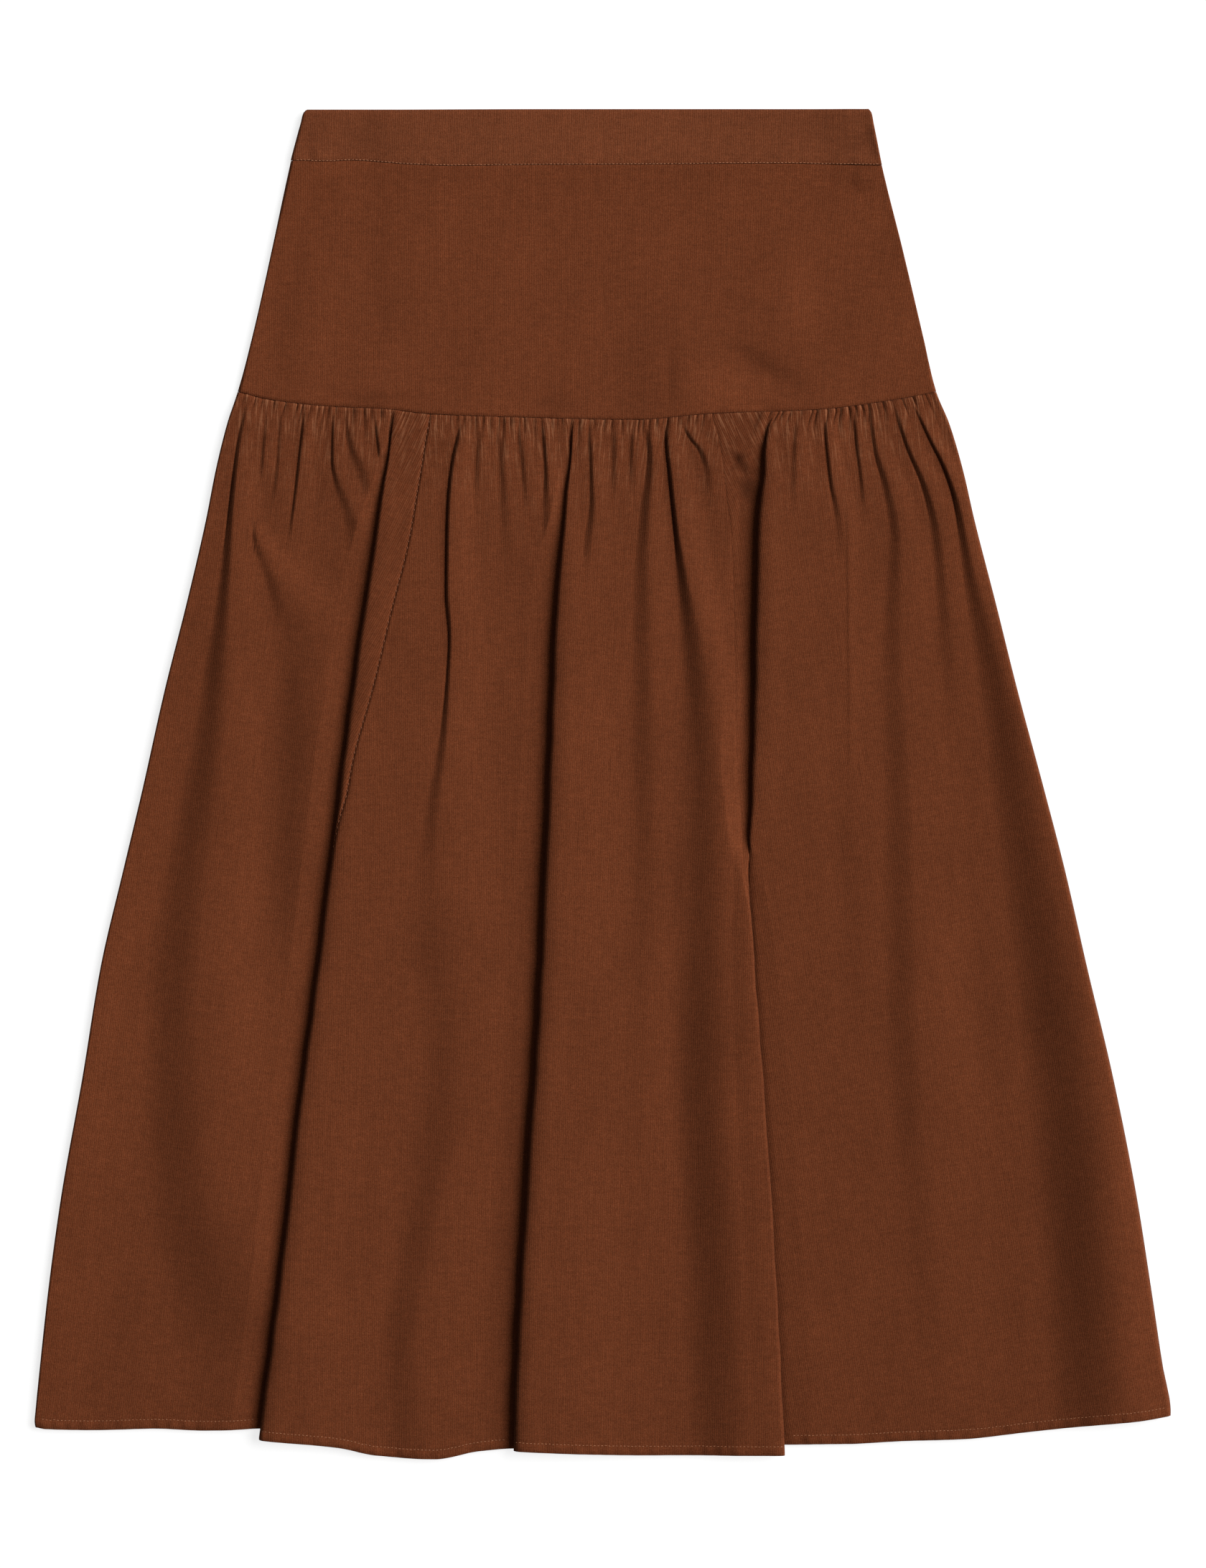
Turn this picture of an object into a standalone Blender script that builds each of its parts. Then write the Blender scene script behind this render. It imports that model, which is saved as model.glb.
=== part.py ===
"""A-line needlecord skirt with a plain waistband, a hip yoke and a gathered tier of three gores.

The skirt lies on its back. +X is across to the wearer's left, +Y runs up to the waist and +Z away
from the surface, with the origin under the middle of the whole length. Tables are in millimetres:
"drop" is how far down from the waist edge a point lies and "across" how far from the centre line.
"""

from collections import namedtuple

import bpy
import numpy as np

MM = 0.001

# Driving dimensions, in millimetres.
LENGTH = 864.0        # waist edge to the lowest point of the hem
CLOTH = 1.0           # wall of the cord cloth
BACK_BAND = 1.6       # waistband, back: two layers pressed
FRONT_BAND = 1.8      # waistband, front: two layers and the seam allowance
GAP = 0.3             # clearance between neighbouring pieces
SEAM_GAP = 0.8        # the same across a seam that bends, between the pieces' middles
SEAM_COLUMN = 0.8     # the column next to a gore seam is this far from it, or less
SIDE_INSET = 0.5      # the back panels stop this far inside the front's outline

# The mid-surface of front cloth that lies flat on the back cloth.
FLOOR = CLOTH + GAP + CLOTH / 2

# Half the pitch of two layers that are folded back on each other.
TURN = 1.25

# How high the front stands over FLOOR.
LOFT = 1.7            # free cloth between folds
SEAM_LIFT = 1.2       # at the yoke seam
EDGE_ROUND = 9.0      # width over which a side edge rounds down

# Outline of the whole skirt: drop, left side, right side.
OUTLINE = (
    (0, -189.8, 169.9),
    (8, -192.6, 172.8),
    (33, -199.0, 178.4),
    (87, -211.3, 192.0),
    (146, -224.7, 205.6),
    (181, -233.4, 213.3),
    (201, -240.0, 221.5),
    (230, -247.2, 230.1),
    (263, -253.7, 237.7),
    (316, -266.0, 251.3),
    (371, -279.9, 265.0),
    (437, -294.7, 282.7),
    (487, -306.6, 295.6),
    (548, -320.9, 309.5),
    (620, -332.8, 326.5),
    (698, -346.7, 341.9),
    (758, -354.9, 351.3),
    (804, -359.9, 358.2),
    (845, -363.6, 364.6),
)

# The waistband seam and the yoke seam meet the sides at about these drops, and the allowance of
# the first lies under the yoke down to the third.
WAIST_DROP = 34.0
HIP_DROP = 181.0
ALLOWANCE_DROP = 48.0

# Waistband seam and yoke seam: across, drop.
WAIST_SEAM = ((-200, 32.9), (-161, 32.9), (-126, 35.0), (28, 35.2), (108, 34.6), (180, 35.9))
YOKE_SEAM = (
    (-234, 180.8),
    (-214, 185.8),
    (-178, 190.0),
    (-136, 192.2),
    (-116, 194.7),
    (-64, 196.9),
    (21, 198.7),
    (70, 194.8),
    (137, 192.3),
    (188, 185.8),
    (214, 180.8),
)

# The three large folds of the tier: drop, across of the edge that shows, how deep the cloth is
# tucked (positive where the right side lies on top), how high the edge rolls up, and how far on
# each side the roll reaches.
FOLD_LEFT = (
    (190, -134.8, 0, 0.2, 7),
    (218, -136.8, 0, 1.2, 8),
    (232, -138.6, 3, 2.2, 12),
    (262, -143.0, 8, 2.6, 15),
    (314, -151.1, 12, 2.8, 18),
    (386, -161.3, 12, 2.8, 19),
    (488, -174.1, 12, 2.9, 19),
    (574, -185.1, 12, 2.8, 19),
    (632, -192.9, 12, 2.8, 19),
    (742, -205.4, 12, 3.0, 19),
    (850, -219.6, 12, 3.0, 19),
)
FOLD_MIDDLE = (
    (196, -20.9, 0, 0.2, 7),
    (224, -21.0, 0, 1.2, 8),
    (238, -22.0, 3, 2.0, 12),
    (270, -25.0, 8, 2.4, 14),
    (298, -28.3, 11, 2.8, 17),
    (432, -34.2, 12, 3.2, 19),
    (574, -40.7, 13, 3.4, 20),
    (690, -48.5, 13, 3.4, 20),
    (816, -55.4, 13, 3.4, 20),
    (860, -56.8, 13, 3.4, 20),
)
FOLD_RIGHT = (
    (193, 109.3, 0, 0.2, 7),
    (220, 103.6, 0, 1.4, 8),
    (233, 103.3, 3, 2.2, 12),
    (266, 99.6, 8, 3.2, 17),
    (311, 98.2, 12, 3.4, 19),
    (366, 97.4, 12, 3.2, 19),
    (399, 96.8, 8, 2.9, 17),
    (432, 95.7, 3, 2.4, 15),
    (465, 94.3, 0, 1.4, 10),
    (499, 94.2, 0, 1.4, 10),
    (532, 95.8, 0, 1.6, 11),
    (565, 98.3, -3, 1.9, 14),
    (598, 101.0, -8, 2.2, 16),
    (661, 105.1, -12, 2.4, 18),
    (796, 113.0, -13, 2.6, 19),
    (860, 115.9, -13, 2.6, 19),
)
FOLDS = (FOLD_LEFT, FOLD_MIDDLE, FOLD_RIGHT)

# Section across a large fold: place along the section, then the multiples of the roll's reach,
# the turn and the tuck that give its distance from the edge, and those of the lower side's
# height, the upper side's height, one layer pitch and the roll that give its height.
PLEAT = (
    (0, -1.00, 0.00, 0.00, 1.00, 0.00, 0.00, 0.00),
    (7, -0.55, 0.00, 0.00, 0.55, 0.00, 0.00, 0.00),
    (13, -0.15, 0.00, 0.00, 0.08, 0.00, 0.00, 0.00),
    (18, 0.00, 0.00, 0.45, 0.00, 0.00, 0.00, 0.00),
    (22, 0.00, -1.00, 1.00, 0.00, 0.00, 0.00, 0.00),
    (24, 0.00, -0.29, 1.00, 0.00, 0.00, 0.15, 0.00),
    (26, 0.00, 0.00, 1.00, 0.00, 0.00, 0.50, 0.00),
    (28, 0.00, -0.29, 1.00, 0.00, 0.00, 0.85, 0.00),
    (30, 0.00, -1.00, 1.00, 0.00, 0.00, 1.00, 0.00),
    (32, 0.00, 0.00, 0.60, 0.00, 0.00, 1.00, 0.00),
    (36, 0.08, 0.30, 0.00, 0.00, 0.00, 1.00, 0.10),
    (41, 0.00, 0.00, 0.00, 0.00, 0.20, 1.00, 0.50),
    (47, 0.28, 0.00, 0.00, 0.00, 0.95, 0.70, 1.00),
    (54, 1.00, 0.00, 0.00, 0.00, 1.00, 0.00, 0.00),
)
# The same where nothing is tucked, so the fold is a groove.
GROOVE = (
    (0, -1.00, 0.00, 0.00, 1.00, 0.00, 0.00, 0.00),
    (7, -0.65, 0.00, 0.00, 1.00, 0.00, 0.00, 0.25),
    (13, -0.33, 0.00, 0.00, 0.90, 0.00, 0.00, 0.35),
    (18, 0.00, -1.35, 0.00, 0.60, 0.00, 0.00, 0.20),
    (22, 0.00, -1.10, 0.00, 0.30, 0.00, 0.00, 0.00),
    (24, 0.00, -0.80, 0.00, 0.08, 0.00, 0.00, 0.00),
    (26, 0.00, -0.30, 0.00, 0.00, 0.00, 0.00, 0.00),
    (28, 0.00, 0.30, 0.00, 0.00, 0.00, 0.00, 0.00),
    (30, 0.00, 0.80, 0.00, 0.00, 0.08, 0.00, 0.00),
    (32, 0.00, 1.10, 0.00, 0.00, 0.30, 0.00, 0.00),
    (36, 0.00, 1.35, 0.00, 0.00, 0.60, 0.00, 0.20),
    (41, 0.33, 0.00, 0.00, 0.00, 0.90, 0.00, 0.35),
    (47, 0.65, 0.00, 0.00, 0.00, 1.00, 0.00, 0.25),
    (54, 1.00, 0.00, 0.00, 0.00, 1.00, 0.00, 0.00),
)
TUCK_TO_OVERLAP = 5.0   # tuck at which a groove has become a full pleat
OPENING = 0.3           # half-way from groove to pleat the two sides stand this far further apart

# Soft folds of the free cloth, each a ridge with a steep left face: drop, across of the middle of
# that face, height, width of the face, width of the gentle side.
SOFT_FOLDS = (
    ((190, -228, 0.3, 6, 8), (253, -237, 1.6, 7, 12), (343, -246, 1.8, 9, 20),
     (435, -258, 1.8, 16, 24), (600, -271, 2.2, 22, 30), (735, -272, 1.4, 28, 32), (800, -262, 0, 28, 32)),
    ((195, -191, 0.3, 6, 8), (252, -198, 1.6, 6, 11), (298, -192, 1.2, 8, 14), (330, -188, 0, 10, 14)),
    ((192, -174, 0.3, 6, 7), (233, -172, 1.6, 6, 9), (275, -166, 1.0, 7, 10), (300, -163, 0, 7, 10)),
    ((280, -210, 0, 12, 12), (345, -190, 1.4, 16, 16), (470, -199, 1.4, 20, 20), (600, -212, 0, 20, 20)),
    ((200, -92, 0.3, 6, 7), (240, -96, 1.8, 6, 10), (321, -98, 2.4, 6, 16), (401, -102, 1.8, 8, 20),
     (515, -111, 1.5, 14, 26), (640, -103, 1.8, 17, 28), (758, -119, 1.8, 18, 28), (862, -128, 1.2, 18, 28)),
    ((200, -40, 0.3, 6, 6), (240, -37, 1.4, 6, 7), (285, -35, 0, 6, 6)),
    ((203, -6, 0.3, 6, 8), (250, -7, 1.6, 7, 12), (300, -12, 0, 8, 14)),
    ((204, 26, 0.3, 6, 8), (252, 26, 1.6, 8, 10), (344, 22, 1.6, 12, 14), (436, 22, 1.0, 14, 16), (530, 21, 0, 14, 16)),
    ((200, 40, 0.3, 6, 8), (233, 43, 2.0, 6, 12), (298, 50, 2.4, 7, 14), (344, 57, 2.2, 10, 16),
     (436, 65, 2.2, 14, 12), (574, 64, 2.4, 20, 16), (712, 69, 2.6, 24, 20), (862, 74, 2.4, 26, 22)),
    ((200, 142, 0.3, 6, 8), (240, 146, 1.3, 6, 10), (290, 151, 0, 6, 10)),
    ((198, 171, 0.3, 6, 7), (236, 179, 1.5, 7, 10), (275, 186, 1.7, 10, 14), (344, 184, 1.8, 14, 18),
     (436, 188, 1.6, 16, 22), (574, 191, 1.5, 18, 26), (720, 200, 0, 20, 28)),
    ((196, 189, 0.3, 6, 7), (233, 200, 1.6, 6, 10), (298, 211, 1.2, 8, 12), (370, 218, 0, 8, 12)),
    ((196, 206, 0.3, 6, 7), (240, 221, 1.6, 7, 10), (298, 234, 1.8, 9, 14), (344, 244, 2.0, 12, 18),
     (482, 270, 2.4, 20, 22), (574, 287, 2.8, 22, 24), (689, 303, 3.0, 22, 26), (827, 310, 2.6, 24, 30),
     (845, 310, 2.6, 24, 30)),
)

# Gathers where the tier joins the yoke.
GATHER_PITCH = 7.8
GATHER_HEIGHT = 1.05
GATHER_LENGTH = 13.0    # they fade over this
SEAM_BLEND = 22.0       # the tier lifts off the seam over this

# Hem of the front: place along the front (one unit a panel or a fold), drop.
FRONT_HEM = (
    (0.00, 843.4), (0.12, 844.5), (1.30, 844.6), (1.62, 849.4), (2.25, 856.3), (2.45, 861.4),
    (2.75, 863.8), (3.00, 858.6), (3.30, 857.4), (3.70, 857.9), (4.50, 861.3), (5.30, 861.3),
    (5.62, 855.0), (6.25, 852.6), (6.60, 846.6), (6.80, 841.6), (7.00, 836.2),
)
# Hem of the back: across, drop.
BACK_HEM = ((-362, 841), (-219, 842), (-60, 853), (100, 851), (240, 845), (362, 833.5))

# Gore seams: drop, and how far the seam lies past the large fold's edge.
LEFT_SEAM = ((195, 25.5), (230, 22.0), (258, 17.0), (316, 11.6), (387, 8.4), (445, 5.2), (496, 0.0), (530, -4.0))
RIGHT_SEAM = ((195, -38.0), (238, -25.0), (278, -16.0), (311, -12.5), (390, -9.0), (440, -5.0), (499, -1.0), (532, 4.0))

# Places along a fold's section where its edge shows, where its turn begins and ends, and where a
# gore seam hides behind it; a seam this far past the edge, or further, has gone into hiding.
EDGE_PLACE = 41 / 54
TURN_FIRST, TURN_LAST = 22 / 54, 30 / 54
HIDDEN_PLACE = 39 / 54
HIDDEN_PAST = -4.0

# A gore seam: its table, the fold it hides behind, that fold's unit along the front, and 1 where
# the seam shows to the right of the fold or -1 where to the left.
Seam = namedtuple("Seam", "table fold unit way")
LEFT_GORE_SEAM = Seam(LEFT_SEAM, FOLD_LEFT, 1, 1)
RIGHT_GORE_SEAM = Seam(RIGHT_SEAM, FOLD_RIGHT, 5, -1)

# Columns of the mesh for each gore: first place, last place, count; None is the gore's seam.
LEFT_COLUMNS = ((0, 1, 15), (1, 1 + TURN_FIRST, 5), (1 + TURN_FIRST, 1 + TURN_LAST, 4), (1 + TURN_LAST, None, 7))
CENTRE_COLUMNS = (
    (None, 2.3, 11),
    (2.3, 3, 13),
    (3, 3 + TURN_FIRST, 4),
    (3 + TURN_FIRST, 3 + TURN_LAST, 4),
    (3 + TURN_LAST, 4, 5),
    (4, 4.6, 10),
    (4.6, None, 8),
)
RIGHT_COLUMNS = ((None, 5 + TURN_FIRST, 5), (5 + TURN_FIRST, 5 + TURN_LAST, 4), (5 + TURN_LAST, 6, 5), (6, 7, 24))

# The tier starts about this far down, and falls this far at its longest.
TIER_DROP = 195.0
TIER_FALL = LENGTH - TIER_DROP

# Rows: distances below the yoke seam that have twice the columns, then evenly spaced ones.
GATHER_ROWS = (0, 4, 9, 16, 26, 40)
PLAIN_ROWS = 19

# How far the yoke stands over FLOOR: share of the way from waist seam to yoke seam, lift.
YOKE_LIFT = ((0, 1.1), (0.12, 0.7), (0.5, 0.6), (0.88, 0.7), (1, 1.2))

# Concealed zip in the right-hand side seam.
ZIP_LENGTH = 152.0
ZIP_TOP = 2.0
ZIP_WIDTH = 10.0
ZIP_INSET = 2.0
ZIP_CLOTH = 0.8
ZIP_COVER = 17.0      # width of front cloth that lies over it
BAND_LIFT = 1.1       # how far it lifts the waistband, the seam allowance under it, and the yoke
SEAM_ALLOWANCE_LIFT = 1.8
YOKE_ZIP_LIFT = 1.2

# Columns of the yoke and waistband: how far inside each side edge they lie.
EDGE_COLUMNS = (0, 1, 2.5, 5, 9, 13, 17)


def through(knots, values, at):
    """Values at the places given, on a curve through the knots that never overshoots them."""
    knots = np.asarray(knots, float)
    values = np.asarray(values, float)
    if values.ndim == 1:
        values = np.repeat(values[:, None], len(at), axis=1)
    step = np.diff(knots)[:, None]
    rise = np.diff(values, axis=0) / step
    same = rise[1:] * rise[:-1] > 0
    before, after = np.where(same, rise[:-1], 1.0), np.where(same, rise[1:], 1.0)
    near, far = 2 * step[1:] + step[:-1], step[1:] + 2 * step[:-1]
    inner = np.where(same, (near + far) / (near / before + far / after), 0.0)
    slope = np.concatenate([rise[:1], inner, rise[-1:]])
    i = np.clip(np.searchsorted(knots, at, side="right") - 1, 0, len(knots) - 2)
    j = np.arange(len(at))
    width = knots[i + 1] - knots[i]
    t = np.clip((at - knots[i]) / width, 0, 1)
    start, end = values[i, j], values[i + 1, j]
    bend = t * (1 - t) * width * ((1 - t) * slope[i, j] - t * slope[i + 1, j])
    return start + (end - start) * t * t * (3 - 2 * t) + bend


def column(table, index, at):
    """One column of a table at the places given, its first column being the place."""
    at = np.atleast_1d(np.asarray(at, float))
    return through([row[0] for row in table], [row[index] for row in table], at)


def ease(t):
    """0 to 1 with level ends."""
    t = np.clip(t, 0, 1)
    return t * t * (3 - 2 * t)


def hump(t):
    """1 at 0, falling to 0 at 1 and beyond."""
    return (1 + np.cos(np.pi * np.clip(np.abs(t), 0, 1))) / 2


def side_rounding(across, drop):
    """0 at the skirt's side edges, 1 from EDGE_ROUND inside them."""
    inside = np.minimum(across - column(OUTLINE, 1, drop), column(OUTLINE, 2, drop) - across)
    t = np.clip(inside / EDGE_ROUND, 0, 1)
    return np.sqrt(1 - (1 - t) ** 2)


def free_height(across, drop):
    """Height of the free cloth of the tier over FLOOR."""
    height = np.full(len(across), LOFT)
    for fold in SOFT_FOLDS:
        face, rise, steep, gentle = (column(fold, index, drop) for index in (1, 2, 3, 4))
        from_crest = across - (face + steep / 2)
        height += rise * hump(np.where(from_crest < 0, from_crest / steep, from_crest / gentle))
    return height * side_rounding(across, drop)


def fold_section(fold, place, drop):
    """Across and height of points on a large fold; place runs from 0, its left end, to 1."""
    edge, tuck, roll, reach = (column(fold, index, drop) for index in (1, 2, 3, 4))
    left, right = free_height(edge - reach, drop), free_height(edge + reach, drop)
    right_on_top = tuck >= 0
    way = np.where(right_on_top, 1, -1)
    lower = np.where(right_on_top, left, right)
    upper = np.where(right_on_top, right, left)
    depth = np.abs(tuck)
    overlap = ease(depth / TUCK_TO_OVERLAP)
    apart = OPENING * 4 * overlap * (1 - overlap)
    knots = [row[0] for row in PLEAT]
    offsets, heights = [], []
    for pleat, groove in zip(PLEAT, GROOVE):
        r, t, d, low, high, layer, crest = (
            overlap * a + (1 - overlap) * b for a, b in zip(pleat[1:], groove[1:])
        )
        opening = apart * np.sign(pleat[0] - knots[-1] / 2)
        offsets.append(r * reach + t * TURN + d * depth + opening)
        heights.append(low * lower + high * upper + layer * 2 * TURN + crest * roll)
    at = np.where(right_on_top, place, 1 - place) * knots[-1]
    return edge + way * through(knots, offsets, at), through(knots, heights, at)


def panel_section(panel, place, drop):
    """Across and height of points on the free cloth between two large folds or side edges."""
    if panel == 0:
        first = column(OUTLINE, 1, drop)
    else:
        first = column(FOLDS[panel - 1], 1, drop) + column(FOLDS[panel - 1], 4, drop)
    if panel == len(FOLDS):
        last = column(OUTLINE, 2, drop)
    else:
        last = column(FOLDS[panel], 1, drop) - column(FOLDS[panel], 4, drop)
    across = first + (last - first) * place
    return across, free_height(across, drop)


def section(places, drop):
    """Across and height at places 0 to 7 along the front: even units are panels, odd ones folds."""
    across, height = np.zeros(len(places)), np.zeros(len(places))
    for unit in range(2 * len(FOLDS) + 1):
        here = np.clip(np.floor(places), 0, 2 * len(FOLDS)) == unit
        if here.any():
            if unit % 2 == 0:
                found = panel_section(unit // 2, places[here] - unit, drop[here])
            else:
                found = fold_section(FOLDS[unit // 2], places[here] - unit, drop[here])
            across[here], height[here] = found
    return across, height


def gathers(top_across, below_seam):
    """Height of the gathers; each follows its own line of cloth down from the seam."""
    x = top_across
    turns = x / GATHER_PITCH + 0.25 * np.sin(x / 5.0) + 0.10 * np.sin(x / 2.7 + 1.0)
    size = GATHER_HEIGHT * (0.78 + 0.22 * np.sin(x / 7.5))
    return size * np.cos(2 * np.pi * turns) * np.exp(-((below_seam / GATHER_LENGTH) ** 1.2))


def front_tier(places, fraction):
    """Points of the front tier at places along it, at a fraction of the way from seam to hem."""
    seam_drop = np.full(len(places), TIER_DROP)
    for _ in range(3):
        seam_across, _ = section(places, seam_drop)
        seam_drop = column(YOKE_SEAM, 1, seam_across) + SEAM_GAP / 2
    hem_drop = column(FRONT_HEM, 1, places)
    drop = seam_drop + (hem_drop - seam_drop) * fraction
    across, height = section(places, drop)
    below = drop - seam_drop
    free = ease(below / SEAM_BLEND)
    height = SEAM_LIFT * side_rounding(across, drop) * (1 - free) + height * free
    height += gathers(seam_across, below) * side_rounding(across, drop)
    return np.stack([across, LENGTH / 2 - drop, FLOOR + height], axis=1)


def seam_place(seam, drop):
    """Place along the front of a gore seam, at a drop."""
    beyond = seam.way * float(column(seam.table, 1, drop)[0])
    reach = float(column(seam.fold, 4, drop)[0])
    places = np.array([HIDDEN_PLACE, EDGE_PLACE, 1.0])
    if seam.way < 0:
        places = 1 - places
    if beyond <= reach:
        return seam.unit + float(np.interp(beyond, (HIDDEN_PAST, 0.0, reach), places))
    ends, _ = panel_section((seam.unit + seam.way) // 2, np.array([0.0, 1.0]), np.full(2, drop))
    return seam.unit + places[2] + seam.way * (beyond - reach) / float(ends[1] - ends[0])


def moved_along(place, drop, distance):
    """The place a distance further along the section at a drop."""
    step = 0.002
    across, height = section(np.array([place - step, place + step]), np.full(2, drop))
    length = float(np.hypot(across[1] - across[0], height[1] - height[0]))
    return place + distance * 2 * step / length


def gore_places(spans, drop, per_step, first_seam, last_seam):
    """Places along one gore at a drop, with per_step columns for each that its table counts."""
    parts, ends = [], [spans[-1][1]]
    for first, last, count in spans:
        if first is None:
            seam = seam_place(first_seam, drop)
            start = moved_along(seam, drop, SEAM_GAP / 2)
            first = moved_along(seam, drop, SEAM_GAP / 2 + SEAM_COLUMN)
            first = min(first, start + (last - start) / (count + 1))
            parts.append(np.linspace(start, first, per_step + 1)[:-1])
        if last is None:
            seam = seam_place(last_seam, drop)
            end = moved_along(seam, drop, -SEAM_GAP / 2)
            last = moved_along(seam, drop, -SEAM_GAP / 2 - SEAM_COLUMN)
            last = max(last, end - (end - first) / (count + 1))
            ends = np.linspace(last, end, per_step + 1)
        parts.append(np.linspace(first, last, count * per_step + 1)[:-1])
    return np.concatenate([*parts, ends])


def gore_rows(spans, first_seam=None, last_seam=None):
    """Rows of points of one gore from the yoke seam to the hem; the first ones are twice as fine."""
    fine = [distance / TIER_FALL for distance in GATHER_ROWS]
    coarse = list(np.linspace(fine[-1], 1.0, PLAIN_ROWS + 1)[1:])
    rows = []
    for fraction in fine + coarse:
        per_step = 2 if fraction in fine[:-1] else 1
        drop = TIER_DROP + fraction * TIER_FALL
        rows.append(front_tier(gore_places(spans, drop, per_step, first_seam, last_seam), fraction))
    return rows


def faces_between(upper, lower):
    """Faces between two rows of point numbers, the second as long as the first or half as fine."""
    if len(upper) == len(lower):
        return [(upper[i], lower[i], lower[i + 1], upper[i + 1]) for i in range(len(upper) - 1)]
    faces = []
    for i in range(len(lower) - 1):
        a, b, c = upper[2 * i], upper[2 * i + 1], upper[2 * i + 2]
        faces += [(a, lower[i], b), (b, lower[i], lower[i + 1]), (b, lower[i + 1], c)]
    return faces


def sheet(name, rows, thickness, material):
    """A wall of cloth from rows of mid-surface points in millimetres."""
    points, numbers = [], []
    for row in rows:
        numbers.append(range(len(points), len(points) + len(row)))
        points += [tuple(p * MM for p in point) for point in row]
    faces = []
    for upper, lower in zip(numbers, numbers[1:]):
        faces += faces_between(upper, lower)
    mesh = bpy.data.meshes.new(name)
    mesh.from_pydata(points, [], faces)
    mesh.shade_smooth()
    mesh.set_sharp_from_angle(angle=np.radians(40))
    mesh.materials.append(material)
    piece = bpy.data.objects.new(name, mesh)
    solidify = piece.modifiers.new("wall", "SOLIDIFY")
    solidify.thickness = thickness * MM
    solidify.offset = 0
    solidify.use_even_offset = False
    return piece


def plate(name, outline, bottom, thickness, material):
    """A flat layer of cloth with the outline given in millimetres."""
    curve = bpy.data.curves.new(name, "CURVE")
    curve.dimensions = "2D"
    curve.fill_mode = "BOTH"
    curve.extrude = thickness / 2 * MM
    spline = curve.splines.new("POLY")
    spline.points.add(len(outline) - 1)
    for point, (across, drop) in zip(spline.points, outline):
        point.co = (across * MM, (LENGTH / 2 - drop) * MM, 0, 1)
    spline.use_cyclic_u = True
    curve.materials.append(material)
    piece = bpy.data.objects.new(name, curve)
    piece.location.z = (bottom + thickness / 2) * MM
    return piece


def cord_cloth(name, colour):
    """Matt napped cotton."""
    material = bpy.data.materials.new(name)
    material.use_nodes = True
    shader = material.node_tree.nodes["Principled BSDF"]
    shader.inputs["Base Color"].default_value = (*colour, 1)
    shader.inputs["Roughness"].default_value = 0.95
    shader.inputs["Metallic"].default_value = 0.0
    material.diffuse_color = (*colour, 1)
    return material


def zip_cover(across, drop):
    """1 where the front cloth lies over the zip, 0 elsewhere."""
    near = ease((across - (column(OUTLINE, 2, drop) - ZIP_COVER)) / 4)
    return near * (1 - ease((drop - ZIP_LENGTH - 6) / 16))


def across_columns(drop, count):
    """Places across the skirt at one drop, closer together near its side edges."""
    left, right = float(column(OUTLINE, 1, drop)[0]), float(column(OUTLINE, 2, drop)[0])
    edge = np.array(EDGE_COLUMNS, float)
    middle = np.linspace(left + edge[-1], right - edge[-1], count)[1:-1]
    return np.concatenate([left + edge, middle, right - edge[::-1]])


def waistband_front(material):
    """The front waistband, raised a little over the top of the zip."""
    rows = []
    for share in np.linspace(0, 1, 4):
        x = across_columns(WAIST_DROP * share, 11)
        drop = share * (column(WAIST_SEAM, 1, x) - GAP / 2)
        z = BACK_BAND + GAP + FRONT_BAND / 2 + BAND_LIFT * zip_cover(x, drop)
        rows.append(np.stack([x, LENGTH / 2 - drop, z], axis=1))
    return sheet("waistband_front", rows, FRONT_BAND, material)


def yoke_front(material):
    """The fitted hip yoke, lifted at its two seams and over the zip."""
    rows = []
    for share in np.linspace(0, 1, 8):
        x = across_columns(WAIST_DROP + share * (HIP_DROP - WAIST_DROP), 24)
        top = column(WAIST_SEAM, 1, x) + GAP / 2
        low = column(YOKE_SEAM, 1, x) - SEAM_GAP / 2
        drop = top + (low - top) * share
        height = float(column(YOKE_LIFT, 1, share)[0]) * side_rounding(x, drop)
        past_allowance = ease((drop - ALLOWANCE_DROP) / 8)
        over_zip = SEAM_ALLOWANCE_LIFT + (YOKE_ZIP_LIFT - SEAM_ALLOWANCE_LIFT) * past_allowance
        height = np.maximum(height, over_zip * zip_cover(x, drop))
        rows.append(np.stack([x, LENGTH / 2 - drop, FLOOR + height], axis=1))
    return sheet("yoke_front", rows, CLOTH, material)


def side_zip(material):
    """The closed zip between front and back, from the waist edge down."""
    rows = []
    for drop in (ZIP_TOP, 20.0, 37.0, 47.0, 80.0, 116.0, ZIP_LENGTH):
        edge = float(column(OUTLINE, 2, drop)[0]) - ZIP_INSET
        under = BACK_BAND + (CLOTH - BACK_BAND) * float(ease((drop - 37) / 10))
        z = under + GAP + ZIP_CLOTH / 2
        rows.append([(edge - ZIP_WIDTH, LENGTH / 2 - drop, z), (edge, LENGTH / 2 - drop, z)])
    return sheet("side_zip", rows, ZIP_CLOTH, material)


def side_points(first, last, count, side):
    """Points down a side edge of the back, just inside the front's outline."""
    drops = np.linspace(first, last, count)
    return [(float(column(OUTLINE, side, d)[0]) + (SIDE_INSET if side == 1 else -SIDE_INSET), d) for d in drops]


def seam_points(seam, first, last, count, shift):
    """Points along a seam or a hem between two places across."""
    return [(x, float(column(seam, 1, x)[0]) + shift) for x in np.linspace(first, last, count)]


def waistband_back(material):
    """The back waistband."""
    left = side_points(0, WAIST_SEAM[0][1] - GAP / 2, 3, 1)
    right = side_points(0, WAIST_SEAM[-1][1] - GAP / 2, 3, 2)[::-1]
    seam = seam_points(WAIST_SEAM, left[-1][0], right[0][0], 8, -GAP / 2)[1:-1]
    return plate("waistband_back", left + seam + right, 0, BACK_BAND, material)


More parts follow.
